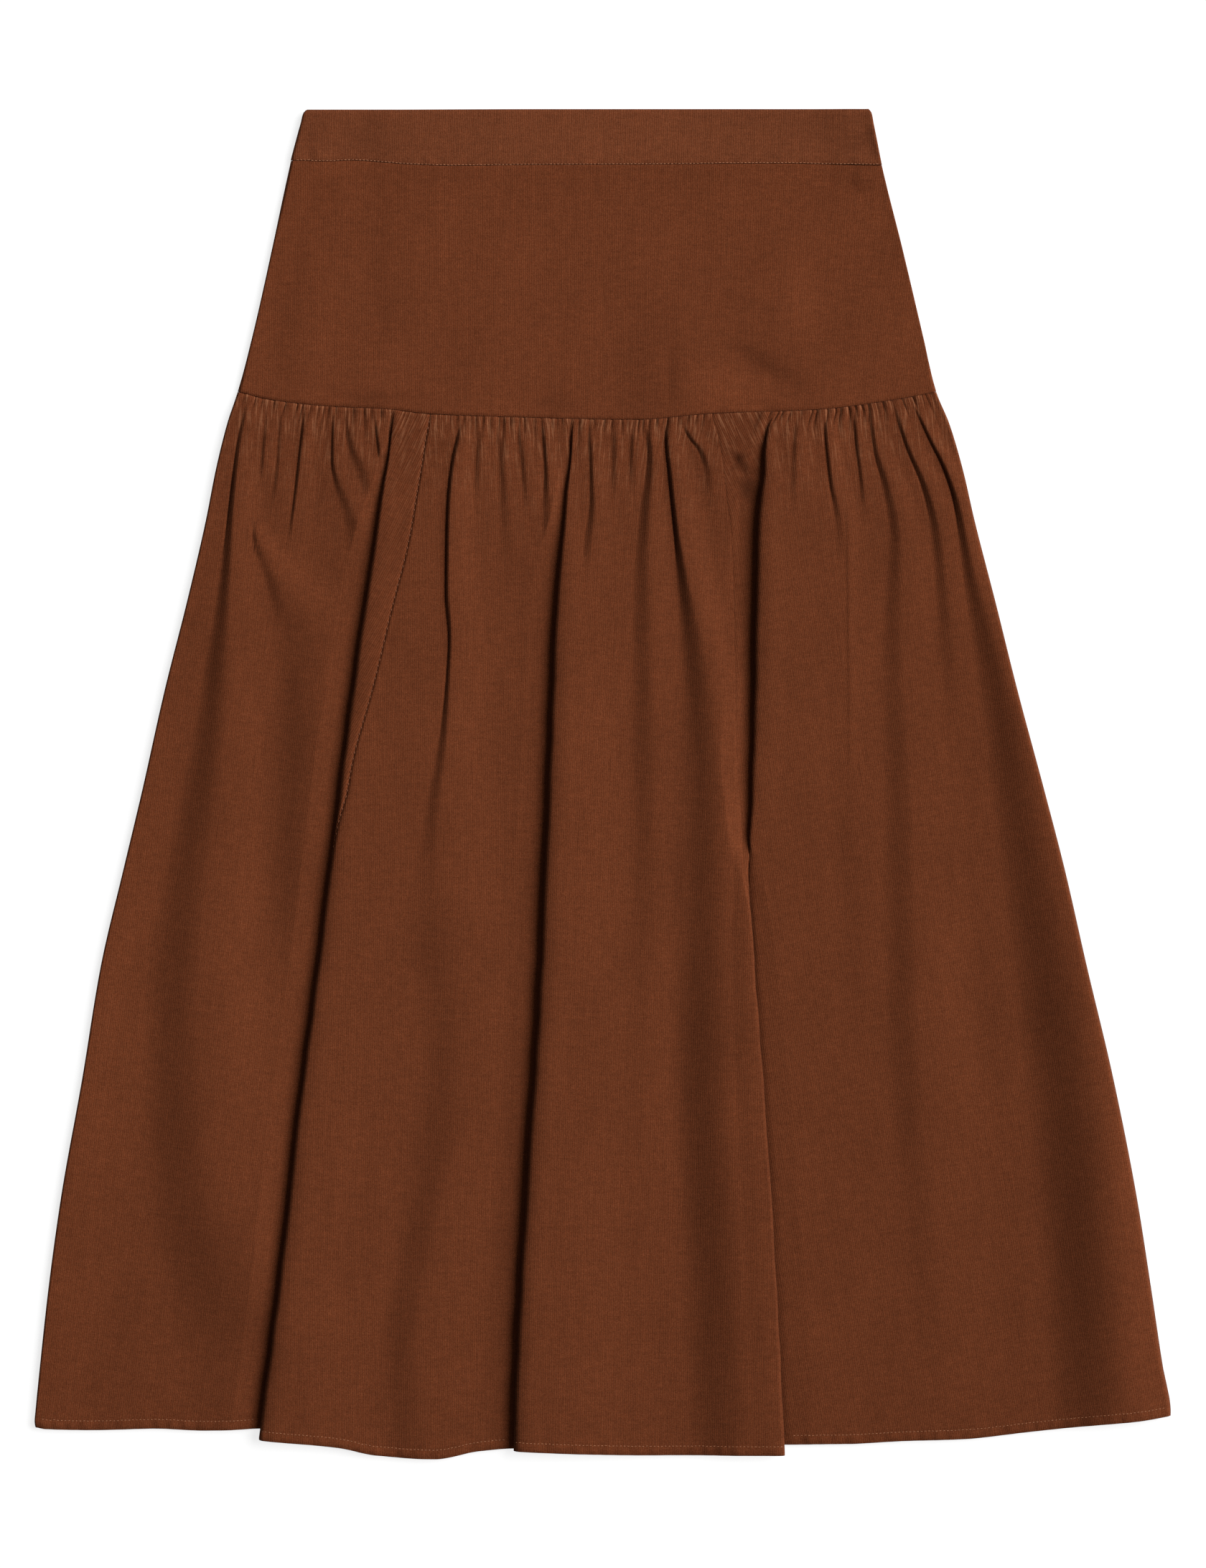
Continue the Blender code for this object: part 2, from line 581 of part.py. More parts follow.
def yoke_back(material):
    """The back yoke."""
    left = side_points(WAIST_SEAM[0][1] + GAP / 2, HIP_DROP - GAP / 2, 5, 1)
    right = side_points(WAIST_SEAM[-1][1] + GAP / 2, HIP_DROP - GAP / 2, 5, 2)[::-1]
    low = seam_points(YOKE_SEAM, left[-1][0], right[0][0], 16, -GAP / 2)[1:-1]
    top = seam_points(WAIST_SEAM, right[-1][0], left[0][0], 8, GAP / 2)[1:-1]
    return plate("yoke_back", left + low + right + top, 0, CLOTH, material)


def tier_back(material):
    """The back of the lower tier, which lies flat."""
    left = side_points(HIP_DROP + GAP / 2, BACK_HEM[0][1], 14, 1)
    right = side_points(HIP_DROP + GAP / 2, BACK_HEM[-1][1], 14, 2)[::-1]
    hem = seam_points(BACK_HEM, left[-1][0], right[0][0], 14, 0)[1:-1]
    top = seam_points(YOKE_SEAM, right[-1][0], left[0][0], 16, GAP / 2)[1:-1]
    return plate("tier_back", left + hem + right + top, 0, CLOTH, material)


def front_gores(material):
    """The three gores of the front tier, split at their seams."""
    left = gore_rows(LEFT_COLUMNS, None, LEFT_GORE_SEAM)
    centre = gore_rows(CENTRE_COLUMNS, LEFT_GORE_SEAM, RIGHT_GORE_SEAM)
    right = gore_rows(RIGHT_COLUMNS, RIGHT_GORE_SEAM, None)
    return [
        sheet("tier_front_left", left, CLOTH, material),
        sheet("tier_front_centre", centre, CLOTH, material),
        sheet("tier_front_right", right, CLOTH, material),
    ]


def main():
    for old in list(bpy.data.objects):
        bpy.data.objects.remove(old, do_unlink=True)
    skirt = bpy.data.collections.new("a_line_skirt")
    bpy.context.scene.collection.children.link(skirt)
    cord = cord_cloth("needlecord", (0.155, 0.046, 0.018))
    tape = cord_cloth("zip_tape", (0.10, 0.035, 0.018))
    pieces = [
        waistband_back(cord),
        yoke_back(cord),
        tier_back(cord),
        side_zip(tape),
        waistband_front(cord),
        yoke_front(cord),
        *front_gores(cord),
    ]
    for piece in pieces:
        skirt.objects.link(piece)


main()
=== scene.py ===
"""The looks of an A-line needlecord skirt that lies on its back on a pale floor.

Tables are in millimetres, as in the model: "drop" is how far down from the waist edge a point lies
and "across" how far from the centre line. Places along the tier's front run from 0 at one side edge
to 7 at the other: even units are free cloth and odd ones the three large folds.
"""

from collections import namedtuple

import bpy
import numpy as np
from mathutils import Euler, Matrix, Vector


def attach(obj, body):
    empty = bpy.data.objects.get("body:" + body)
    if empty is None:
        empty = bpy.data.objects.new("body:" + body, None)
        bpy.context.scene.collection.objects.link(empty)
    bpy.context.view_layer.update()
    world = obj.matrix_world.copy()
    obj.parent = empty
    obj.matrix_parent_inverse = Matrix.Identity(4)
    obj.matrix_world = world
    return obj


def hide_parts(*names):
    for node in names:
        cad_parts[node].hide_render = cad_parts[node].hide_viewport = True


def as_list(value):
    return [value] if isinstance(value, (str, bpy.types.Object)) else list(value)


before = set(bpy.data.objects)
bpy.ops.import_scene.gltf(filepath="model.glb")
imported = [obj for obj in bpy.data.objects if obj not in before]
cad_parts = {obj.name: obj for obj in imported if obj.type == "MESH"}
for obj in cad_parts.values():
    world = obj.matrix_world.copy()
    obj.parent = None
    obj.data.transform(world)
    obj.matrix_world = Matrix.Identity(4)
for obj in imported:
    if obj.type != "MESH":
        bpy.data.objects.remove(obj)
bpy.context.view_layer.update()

MM = 0.001
BODY = "root"

# Driving dimensions, in millimetres.
LENGTH = 864.0
SHEET = 0.9            # wall of the cloth
BAND_SHEET = 1.7       # wall of the front waistband
GAP = 0.3              # between pieces at a seam
FLOOR = 1.8            # middle of front cloth that lies on the back
TURN = 1.25            # half the pitch of layers folded back on each other
LOFT = 1.7             # free cloth over FLOOR
SEAM_LIFT = 1.2        # height of the yoke seam over FLOOR
HELD_BELOW_SEAM = 10.0    # the cloth is free this far below the seam plus half the gathers' length
LOWEST_CREASE = -0.3   # lowest that the free cloth comes, against FLOOR
LOWEST_CLOTH = -0.35   # the same with its gathers and hem
LIFT_OFF = 0.02        # back pieces over the surface
EDGE_ROUND = 0.7       # width of the rounding along the side edges
SIDE_INSET = 0.5       # back pieces inside the front's outline
LEFT_FLAT = 70.0       # how far in from the left edge the cloth reaches its full loft
LEFT_LOFT = 1.35       # loft at the left edge over the usual

# The cord: its ribs, and how the record's colours turn out in this light.
RIB = 1.21
# ridges: the pile's colour with a painted highlight; valleys: the dark ground between the ribs
RIDGE_COLOUR = (0.113, 0.0333, 0.0134)
VALLEY_COLOUR = (0.086, 0.0204, 0.0067)
# painted highlight: colour of the light strokes on the gathers
GATHER_HIGHLIGHT_COLOUR = (0.215, 0.085, 0.040)
LEFT_FACING_SHADE = 1.1         # painted shade: how much darker the colour is made where the cloth faces left, away from the key light
THREAD_COLOUR = (0.27, 0.115, 0.057)
WAIST_THREAD_COLOUR = (0.30, 0.125, 0.062)
TUCK_COLOUR = (0.125, 0.040, 0.0165)
TAPE_COLOUR = (0.085, 0.026, 0.012)
UV_UNIT = 100.0        # millimetres of cloth in one unit of the cord's UV map
RIB_WANDER = 1.25      # how far the ribs stray sideways
RIB_RELIEF = 0.18      # height of the ribs' bump
TUFT_SWING = 2.2       # how much the tufts vary the pile
TUFT_RELIEF = 1.2      # height of the tufts against the ribs
BIAS_CLARITY = 0.8     # how much clearer the ribs show where the grain slants, as painted light and shade of the ribs
NAP_AND_SHADING_BLUR = 2.5     # how much the ribs fade in the patches of painted shade and brushed pile
GATHER_HIGHLIGHT_LEVEL = 0.54    # painted highlights, light strokes among the gathers: threshold, contrast, strength, and the distance below the seam in which they and the painted shade among the gathers fade
GATHER_HIGHLIGHT_CONTRAST = 6.0  # distance below the seam in which they fade
GATHER_HIGHLIGHT_SHARE = 0.75
GATHER_PAINT_FADE = 26.0
GATHER_PAINTED_SHADE = 0.06   # painted shade among the gathers: share of the light lost
LEFT_FACING_LIGHT_KEPT = 0.62     # least share of the light that the painted shade on left-facing cloth keeps
# Unevenness of the pile's shade: grain in millimetres across and along the ribs, detail, swing.
PILE_NOISES = (
    (2, 40, 3, 0.20),
    (38, 60, 2, 0.22),
    (14, 1.2, 2, 0.24),
    (7, 5, 2, 0.28),
    (1.5, 2.2, 2, 0.46),
)

# Outline of the whole skirt: drop, left side, right side.
OUTLINE = (
    (0, -189.8, 169.9),
    (2, -191.4, 171.6),
    (8, -192.8, 173),
    (33, -199, 178.4),
    (87, -211.3, 192),
    (146, -224.7, 205.6),
    (181, -233.4, 213.3),
    (201, -240, 221.5),
    (230, -247.2, 230.1),
    (263, -253.7, 237.7),
    (316, -266, 251.3),
    (371, -279.9, 265),
    (437, -294.7, 282.7),
    (487, -306.6, 295.6),
    (548, -320.9, 309.5),
    (620, -332.8, 326.5),
    (698, -346.7, 341.9),
    (758, -354.9, 351.3),
    (804, -359.9, 358.2),
    (834, -362.9, 363.4),
    (840, -363.4, 363),
    (845, -362.6, 361.5),
)

# Waistband seam and yoke seam: across, drop.
WAIST_SEAM = (
    (-200, 32.9), (-176, 33.4), (-161, 32.8), (-144, 33.8), (-126, 35.2), (-95, 36.3), (-55, 35.8),
    (28, 35.4), (108, 34.8), (150, 35.4), (180, 35.9),
)
YOKE_SEAM = (
    (-234, 180.8), (-214, 185.8), (-178, 190.0), (-136, 192.2), (-116, 194.7),
    (-64, 196.9), (21, 198.7), (70, 194.8), (137, 192.3), (188, 185.8), (214, 180.8),
)

# The three large folds: drop, across of the edge that shows, depth of cloth tucked (positive where
# the right side lies on top), height of the rolled edge, reach of the roll, and how much the cloth
# on top stands up behind the edge.
FOLD_LEFT = (
    (190, -134.8, 0, 0.1, 5, 0.4),
    (204, -135.6, 1, 0.1, 5, 0.6),
    (216, -136.8, 2.2, 0.2, 5, 0.9),
    (232, -138.6, 4, 0.3, 7, 1.5),
    (262, -143, 8.5, 0.4, 13, 2.9),
    (314, -151.1, 12, 0.5, 18, 4),
    (386, -161.3, 12, 0.5, 19, 4.5),
    (488, -174.1, 12, 0.6, 19, 4.8),
    (574, -185.1, 12, 0.6, 19, 4.8),
    (632, -192.9, 12, 0.6, 19, 4.8),
    (742, -205.4, 12, 0.6, 19, 5),
    (850, -219.6, 12, 0.6, 19, 5),
)
FOLD_MIDDLE = (
    (196, -20, 0, 0.1, 5, 0.4),
    (208, -20.4, 1, 0.1, 5, 0.6),
    (222, -21, 2.2, 0.2, 5, 0.9),
    (238, -22, 4, 0.3, 7, 1.4),
    (262, -23.8, 7, 0.4, 10, 2.2),
    (282, -26.2, 10, 0.5, 14, 3.3),
    (312, -29, 11, 0.5, 17, 4.5),
    (432, -34.2, 12, 0.6, 19, 5.5),
    (574, -40.7, 13, 0.7, 20, 6.3),
    (690, -48.5, 13, 0.7, 20, 6.5),
    (816, -55.4, 13, 0.7, 20, 6.5),
    (860, -56.8, 13, 0.7, 20, 6.5),
)
FOLD_RIGHT = (
    (193, 109.3, 0, 0.1, 7, 0.6),
    (204, 105, 1.5, 0.3, 7, 1.2),
    (218, 103.7, 4, 0.4, 8, 2.8),
    (233, 103.3, 7, 0.5, 12, 3.8),
    (250, 101.2, 9, 0.6, 15, 4.4),
    (266, 99.6, 10, 0.7, 17, 4.8),
    (311, 98.2, 12, 0.7, 19, 5),
    (366, 97.4, 12, 0.7, 19, 4.5),
    (408, 96.4, 10, 0.5, 21, 3.6),
    (426, 95.9, 8.8, 0.45, 20, 3.2),
    (445, 95.3, 7.2, 0.4, 17, 2.6),
    (462, 94.2, 5, 0.35, 14, 1.7),
    (475, 93.4, 2.8, 0.3, 11.5, 0.9),
    (488, 93.4, 0, 0.2, 9.5, 0.2),
    (503, 94.2, -2.8, 0.2, 10.5, 0.2),
    (520, 95, -5, 0.2, 12.5, 0.3),
    (545, 96.4, -7.4, 0.2, 14, 0.3),
    (579, 99, -10, 0.2, 16, 0.4),
    (661, 105.1, -12, 0.2, 18, 0.6),
    (796, 113, -13, 0.2, 19, 0.8),
    (860, 115.9, -13, 0.2, 19, 0.8),
)
FOLDS = (FOLD_LEFT, FOLD_MIDDLE, FOLD_RIGHT)
RISE_SPREAD = 120.0    # how far behind the edge the cloth on top is level again

# Section across a large fold: place along the section, up to SECTION, then the multiples of the
# roll's reach, the turn and the tuck that give its distance from the edge, and those of the lower
# side's height, the upper side's height, one layer pitch and the roll that give its height.
PLEAT = (
    (0, -1, 0, 0, 1, 0, 0, 0),
    (7, -0.6, 0, 0, 0.55, 0, 0, 0),
    (13, -0.22, 0, 0, 0.04, 0, 0, 0),
    (18, 0, 0, 0.45, 0, 0, 0, 0),
    (22, 0, -1, 1, 0, 0, 0, 0),
    (24, 0, -0.29, 1, 0, 0, 0.15, 0),
    (26, 0, 0, 1, 0, 0, 0.5, 0),
    (28, 0, -0.29, 1, 0, 0, 0.85, 0),
    (30, 0, -1, 1, 0, 0, 1, 0),
    (32, 0, 0, 0.6, 0, 0, 1, 0),
    (36, 0.03, 0.2, 0, 0, 0.06, 1, 0.04),
    (41, 0, 0, 0, 0, 0.5, 0.6, 0.35),
    (44, 0.09, 0, 0, 0, 0.86, 0.25, 0.8),
    (48, 0.42, 0, 0, 0, 1, 0, 1),
    (54, 1, 0, 0, 0, 1, 0, 0),
)
# The same where nothing is tucked, so the fold is a groove.
GROOVE = (
    (0, -1, 0, 0, 1, 0, 0, 0),
    (7, -0.65, 0, 0, 1, 0, 0, 0.25),
    (13, -0.33, 0, 0, 0.9, 0, 0, 0.35),
    (18, 0, -1.35, 0, 0.6, 0, 0, 0.2),
    (22, 0, -1.1, 0, 0.3, 0, 0, 0),
    (24, 0, -0.8, 0, 0.08, 0, 0, 0),
    (26, 0, -0.3, 0, 0, 0, 0, 0),
    (28, 0, 0.3, 0, 0, 0, 0, 0),
    (30, 0, 0.8, 0, 0, 0.08, 0, 0),
    (32, 0, 1.1, 0, 0, 0.3, 0, 0),
    (36, 0, 1.35, 0, 0, 0.6, 0, 0.2),
    (41, 0.33, 0, 0, 0, 0.9, 0, 0.35),
    (44, 0.45, 0, 0, 0, 0.96, 0, 0.32),
    (48, 0.7, 0, 0, 0, 1, 0, 0.2),
    (54, 1, 0, 0, 0, 1, 0, 0),
)
TUCK_TO_OVERLAP = 5.0
CLOSED_GROOVE_DROP = 400.0    # below this the groove, where a fold turns over, is nearly closed
CLOSED_GROOVE = 0.3
EDGE_WAVE = 0.35       # how far a fold's edge strays to either side as it runs down
EDGE_RIPPLE = (9.0, 2, 31.0)    # length, stray and the stray's length, as in ripple()
SECTION = 54
LOWER_SIDE_END = 18    # place along the section where the lower side ends
LEVEL_WHEN_TURNED = 0.75    # how level the lower side stays where the left side lies on top

# Creases of the free cloth, each a ridge with a steep left face, from left to right: drop, across
# of the middle of that face, height, width of the face, width of the gentle side.
CREASES = (
    ((187, -227, 0.5, 3, 8), (215, -233, 1.2, 3, 10), (253, -237.5, 2.2, 4, 12),
     (300, -241.5, 2.2, 8, 16), (343, -246, 2.6, 14, 20), (414, -254, 3.2, 24, 26),
     (493, -268, 3.6, 32, 30), (571, -276, 3.6, 36, 34), (650, -275, 3.3, 40, 36),
     (729, -266, 2.4, 42, 40), (776, -258, 1.6, 42, 40), (845, -250, 0.8, 42, 40)),
    ((200, -215.5, 0.4, 2.5, 5), (222, -217.5, 0.8, 3, 6), (245, -219, 0, 5, 8)),
    ((196, -206, 0.4, 2.5, 5), (233, -208.5, 0.7, 3, 7), (258, -212, 0, 5, 10)),
    ((262, -222.6, 0, 4, 6), (269, -222.8, 0.9, 3.8, 6), (277, -222.2, 1.3, 4, 7),
     (284, -219.6, 1.5, 5, 9), (291, -216.6, 1.4, 7, 12), (304, -212, 1.5, 10, 18),
     (332, -206, 0, 16, 24)),
    ((190, -190.4, 0.6, 2, 5), (208, -192.4, 1.1, 2, 6), (228, -194.6, 1.2, 2, 7),
     (255, -197.8, 0.9, 2, 8), (268, -199.6, 0.4, 2.5, 8), (278, -200.4, 0, 4, 10)),
    ((290, -206, 0, 16, 14), (330, -198, 1.2, 30, 18), (380, -200, 1.7, 34, 22),
     (440, -204, 1.8, 34, 24), (500, -208, 1.4, 30, 28), (545, -211, 0.6, 30, 28),
     (620, -218, 0, 30, 30)),
    ((192, -172.3, 0.7, 2, 5), (225, -172.9, 1.1, 2, 7), (238, -170.4, 1, 4, 8), (252, -165, 1.1, 8, 9),
     (275, -158, 1.3, 12, 10), (325, -152, 0, 14, 12)),
    ((194, -164, 0.6, 2, 5), (208, -163, 0.9, 3.5, 6), (218, -160.5, 1, 6, 7), (232, -154, 0.9, 8, 8),
     (255, -149, 0, 8, 8)),
    ((194, -145.6, 0.7, 2, 4), (208, -144.5, 1, 2, 5), (224, -142.2, 1, 2, 5), (238, -139.9, 0.6, 2, 5),
     (246, -139.4, 0, 3, 5)),
    ((198, -90.6, 0.3, 2, 6), (205, -91.5, 0.9, 2, 7), (212, -93, 1.6, 2, 8), (225, -95.8, 2.1, 2, 9),
     (254, -98.8, 2.4, 2, 11), (280, -99.5, 2.4, 2, 12), (310, -99.8, 2.2, 2, 14),
     (338, -97.8, 1.9, 2, 15), (368, -99.2, 1.6, 3, 15), (401, -101.9, 1.6, 6, 18),
     (442, -108, 1.5, 10, 22), (490, -112, 1.4, 20, 26), (525, -110, 1.7, 32, 26),
     (552, -107, 1.8, 32, 26), (590, -105, 1.6, 28, 28), (650, -105, 1.7, 28, 28),
     (689, -112, 1.8, 28, 30), (728, -121, 2, 28, 30), (790, -131, 2, 26, 30),
     (864, -126, 1.6, 26, 30)),
    ((198, -78, 0.4, 3, 6), (225, -80, 0.8, 4, 8), (262, -82, 0, 6, 10)),
    ((198, -67, 0.5, 3, 5), (225, -65, 0.9, 5, 7), (262, -62.5, 0.7, 8, 9), (300, -61, 0, 10, 10)),
    ((198, -54, 0.5, 3, 5), (233, -50.5, 0.9, 4, 7), (270, -48, 0, 7, 8)),
    ((198, -38.8, 0.6, 2, 5), (206, -38, 1.1, 2, 5), (233, -36.2, 1.2, 2.5, 6), (252, -36, 1.1, 6, 8),
     (298, -34, 1, 9, 9), (345, -34, 0, 12, 12)),
    ((200, -8.4, 0.6, 2.5, 6), (225, -7.4, 1.1, 2.5, 7), (252, -6.7, 1.2, 4, 9), (275, -9, 1, 6, 11),
     (300, -12.6, 0, 8, 12)),
    ((200, 8, 0.5, 3, 4), (222, 7.4, 0.8, 4, 5), (262, 6, 0, 6, 8)),
    ((200, 19, 0.5, 2.5, 4), (225, 18.6, 0.7, 4, 5), (250, 19, 0, 4, 6)),
    ((200, 27.5, 0.6, 3, 5), (222, 30.5, 1.3, 4.5, 6), (257, 27.1, 1.7, 8, 9), (298, 25, 1.9, 12, 11),
     (344, 25, 2.1, 16, 13), (436, 26, 2, 20, 16), (530, 27, 1.3, 22, 18), (640, 28, 0, 22, 20)),
    ((198, 39.6, 0.7, 2, 7), (206, 40.6, 1.6, 2, 7), (216, 41.2, 2.2, 2, 8), (233, 43, 2.6, 2.5, 10),
     (270, 47, 2.8, 3.5, 12), (300, 50.8, 3, 8, 12), (344, 56.5, 3.4, 18, 14), (400, 60.5, 4, 28, 15),
     (470, 61, 4.4, 34, 16), (560, 61, 4.4, 36, 18), (640, 62, 4.2, 38, 20), (712, 67, 4, 40, 22),
     (804, 72, 3.7, 40, 24), (864, 74, 3.2, 38, 24)),
    ((200, 50.5, 0.5, 3, 5), (210, 56, 1.1, 3, 6), (220, 63.5, 1.1, 4, 7), (235, 67.5, 0.7, 6, 8),
     (262, 69, 0, 8, 10)),
    ((195, 124.4, 0.4, 3, 6), (222, 122.5, 0.8, 4, 8), (262, 122, 0, 7, 10)),
    ((193, 141.8, 0.7, 2, 5), (215, 143.3, 1.4, 2.2, 6), (242, 146.5, 1.2, 3, 7), (258, 150, 0.9, 5, 8),
     (300, 154, 0, 8, 10)),
    ((245, 155.5, 0, 2, 4), (290, 156.3, 0.25, 1.6, 4), (400, 157.2, 0.2, 1.6, 4),
     (430, 157.4, 0, 2, 4)),
    ((193, 160.8, 0.6, 2, 5), (215, 162.6, 1.1, 2.2, 6), (236, 165.2, 0.9, 3, 7), (265, 168, 0, 5, 9)),
    ((191, 171, 0.6, 2.5, 6), (220, 175, 1.2, 3.5, 7), (240, 181, 1.5, 6, 8), (275, 187, 1.5, 9, 12),
     (344, 184.8, 1.6, 16, 18), (436, 188.4, 1.7, 20, 22), (574, 191, 1.5, 22, 26),
     (712, 199, 0.6, 24, 28), (800, 204, 0, 24, 28)),
    ((190, 186.5, 0.6, 2.5, 6), (216, 195, 1.3, 3, 7), (242, 206, 1.5, 4.5, 9), (270, 213, 1.4, 7, 11),
     (344, 219, 1, 12, 14), (420, 224, 0, 16, 16)),
    ((187, 198, 0.7, 2, 5), (212, 209.8, 1.5, 2.2, 6), (230, 218.8, 1.9, 2.5, 7),
     (252, 226.2, 2.1, 4, 8), (298, 234.4, 2.4, 10, 10), (344, 244.5, 2.8, 18, 14),
     (390, 255, 3.4, 26, 16), (482, 271, 4.2, 36, 18), (574, 286.6, 5, 44, 18), (689, 300, 5.6, 50, 18),
     (758, 305, 5.4, 50, 22), (827, 309, 4.8, 48, 24), (845, 310, 4.6, 48, 24)),
    ((186, 216, 0.5, 1.6, 3), (206, 222.6, 0.8, 1.6, 3), (240, 232.4, 0.6, 2, 4),
     (262, 236.6, 0, 3, 5)),
)
GENTLER = 1.7          # widens the gentle sides
PINCH = 1.6            # groove at the foot of a narrow steep face
PINCH_WIDTH = 0.65
PINCH_RISE = (0.8, 3.0)     # heights of a crease between which the groove deepens
PINCH_STEEP = (3.5, 6.5)    # widths of its steep face between which the groove fades
FOOT = 0.95            # distance of the groove from the crest, in widths of the steep face

# Shallow dents, pressed or puffed: across, drop, half-width, half-length, lean in degrees from
# straight down towards the left, depth (negative where the cloth puffs up).
TIER_DENTS = (
    (85.3, 224, 2.8, 3.4, -30, 1.3),
    (90.2, 232, 2.8, 4, -30, 1.3),
    (94, 245, 5.5, 3.4, 0, 1.5),
    (97.5, 230, 2.6, 9, 12, -0.7),
    (-107.5, 229.5, 5.5, 1.4, 0, 0.45),
    (-214.5, 279, 4, 5, -30, -0.7),
    (-225.5, 272, 2, 5, 0, -0.4),
    (-228, 352, 8, 26, -12, 0.4),
    (-306, 560, 12, 90, 10, 0.5),
    (-318, 760, 14, 80, 6, 0.4),
    (-60, 640, 9, 140, 3, 0.5),
    (-160, 700, 12, 110, 6, 0.4),
    (150, 470, 10, 120, -4, 0.5),
    (232, 560, 14, 110, -9, 0.5),
    (252, 760, 16, 80, -8, 0.4),
    (30, 780, 12, 80, -2, 0.4),
)
YOKE_DENTS = (
    (95, 160, 12, 34, -42, 0.55),
    (42, 166, 6, 26, 0, 0.4),
    (70, 180, 18, 8, 0, -0.4),
    (-129, 186.5, 12, 3.5, 0, 0.5),
    (103, 191, 8, 3, 0, 0.5),
    (196, 152, 16, 2, 0, 0.35),
    (186, 48, 2.2, 9, -35, -0.5),
    (191, 60, 2, 7, -35, -0.45),
    (170, 52, 5, 12, -30, 0.45),
    (-150, 90, 30, 60, 6, 0.3),
    (-40, 120, 34, 60, -8, 0.25),
    (130, 90, 26, 52, 10, 0.3),
    (-206, 120, 10, 40, 12, 0.25),
)
BAND_DENTS = (
    (168, 19, 5, 12, -10, 0.55),
    (176, 23, 2.2, 9, -12, -0.35),
    (-182, 29, 4, 5, 0, -0.25),
    (-60, 16, 40, 12, 0, 0.18),
    (110, 14, 18, 12, 0, 0.2),
)

# Painted shade beside folds, in dents and pockets, partly brushed pile, and painted light where the
# last value is below 0: across, drop, half-width, half-length, lean in degrees as above, share of the light
# lost.
NAP_AND_SHADING_SHARPNESS = 1.4    # of a patch's rim, where a dent has 1
TIER_NAP_AND_SHADING = (
    (-238, 762, 24, 62, -28, 0.16),
    (-256, 690, 12, 60, -10, 0.06),
    (-199, 437, 19, 108, 3, 0.12),
    (-106, 532, 30, 24, 0, 0.09),
    (-115, 690, 14, 120, 7, 0.09),
    (54, 520, 12, 190, -2.5, 0.14),
    (301, 689, 16, 150, -6, 0.1),
    (-175, 226, 52, 30, 0, 0.07),
    (60, 226, 44, 34, 0, 0.09),
    (185, 240, 34, 44, -10, 0.07),
    (86.7, 226.3, 3.5, 9, -35, 0.28),
    (93.6, 243, 6.5, 9, -20, 0.32),
    (86.2, 255, 1.3, 20, 0, -0.12),
    (93, 290, 6, 80, 0, 0.13),
    (104.6, 670, 1.8, 200, -3.5, 0.17),
    (20, 620, 7, 220, 0, 0.06),
    (-63, 690, 6.5, 170, 3.5, 0.1),
    (205, 720, 9, 95, -4, 0.07),
    (0, 880, 600, 150, 0, 0.05),
    (-8, 412, 16, 130, 1, -0.1),
    (118, 420, 14, 130, 0, -0.05),
    (-300, 560, 26, 150, 9, -0.12),
    (-226, 560, 16, 90, 5, -0.07),
    (-190, 300, 18, 32, -20, -0.08),
)
YOKE_NAP_AND_SHADING = (
    (-200, 140, 12, 32, 12, 0.09),
    (-141, 90, 6, 80, 0, 0.05),
    (-172, 38, 14, 5, 0, -0.14),
    (-65, 39, 8, 5, 0, -0.08),
    (-95, 43, 22, 4, 0, 0.06),
    (29, 168, 17, 38, 0, 0.13),
    (70, 178, 18, 14, 0, -0.15),
    (102, 161, 28, 6.5, 29, 0.2),
    (94, 124, 17, 5.5, 25, 0.09),
    (128, 118, 10, 38, -6, -0.11),
    (160, 45, 13, 5, 15, 0.12),
    (-146, 186, 14, 7, 0, 0.18),
    (-29, 187, 10, 8, 0, 0.1),
)
BAND_NAP_AND_SHADING = (
    (-150, 18, 13, 16, 0, 0.12),
    (-184, 14, 12, 12, 0, 0.08),
    (10, 18, 60, 20, 0, -0.08),
    (150, 10, 26, 12, 0, 0.07),
    (165, 21, 5, 6, 0, 0.18),
)

# Gathers: across at the seam, height, how far down they last, pitch.
GATHER_SIZE = (
    (-236, 0.6, 11, 5), (-210, 1, 13, 5.6), (-178, 1.1, 13, 5.4), (-150, 1.1, 13, 5),
    (-132, 0.8, 11, 5), (-118, 0.35, 8, 6), (-102, 0.25, 6, 6), (-92, 0.9, 9, 5), (-70, 1.2, 13, 4.8),
    (-30, 1.2, 13, 4.8), (10, 1.1, 12, 5), (44, 1.2, 14, 5), (66, 0.7, 9, 5.6), (84, 0.8, 11, 5.6),
    (108, 1.1, 13, 5), (150, 1.2, 13, 5.2), (190, 1.1, 12, 5.2), (216, 0.7, 11, 5),
)
GATHER_SEED = 11
GATHER_WIDTHS = (0.55, 0.8, 1.0, 1.35)    # in pitches
GATHER_REACHES = (0.5, 0.9, 1.4, 3.2)     # in lengths
GATHER_ZONE = 60       # no gather reaches further below the seam
NIP_WIDTH = 0.62       # the sharp line between two gathers

# Hem of the front: place along the front, drop.
FRONT_HEM = (
    (0, 843.4), (0.05, 844.6), (0.3, 845.3), (0.62, 844.4), (0.85, 845.6), (1.3, 844.6), (1.62, 849.4),
    (2.25, 856.3), (2.45, 861.4), (2.75, 863.8), (3, 858.6), (3.3, 857.4), (3.7, 857.9), (4.25, 860.6),
    (4.5, 861.3), (5.3, 861.3), (5.62, 855), (6.1, 854.2), (6.25, 852.4), (6.42, 851.2), (6.6, 846.8),
    (6.8, 841.8), (6.93, 838.8), (7, 836.2),
)
BACK_HEM = ((-362, 841), (-219, 842), (-60, 853), (100, 851), (240, 845), (362, 833.5))
HEM_STITCH = 5.8       # stitch line to edge
HEM_LINE = 0.28        # depth and width of the line that the stitches press
HEM_LINE_WIDTH = 0.9
HEM_FULLNESS = 0.30
HEM_RIPPLE = (1.7, 1.5, 11.0)

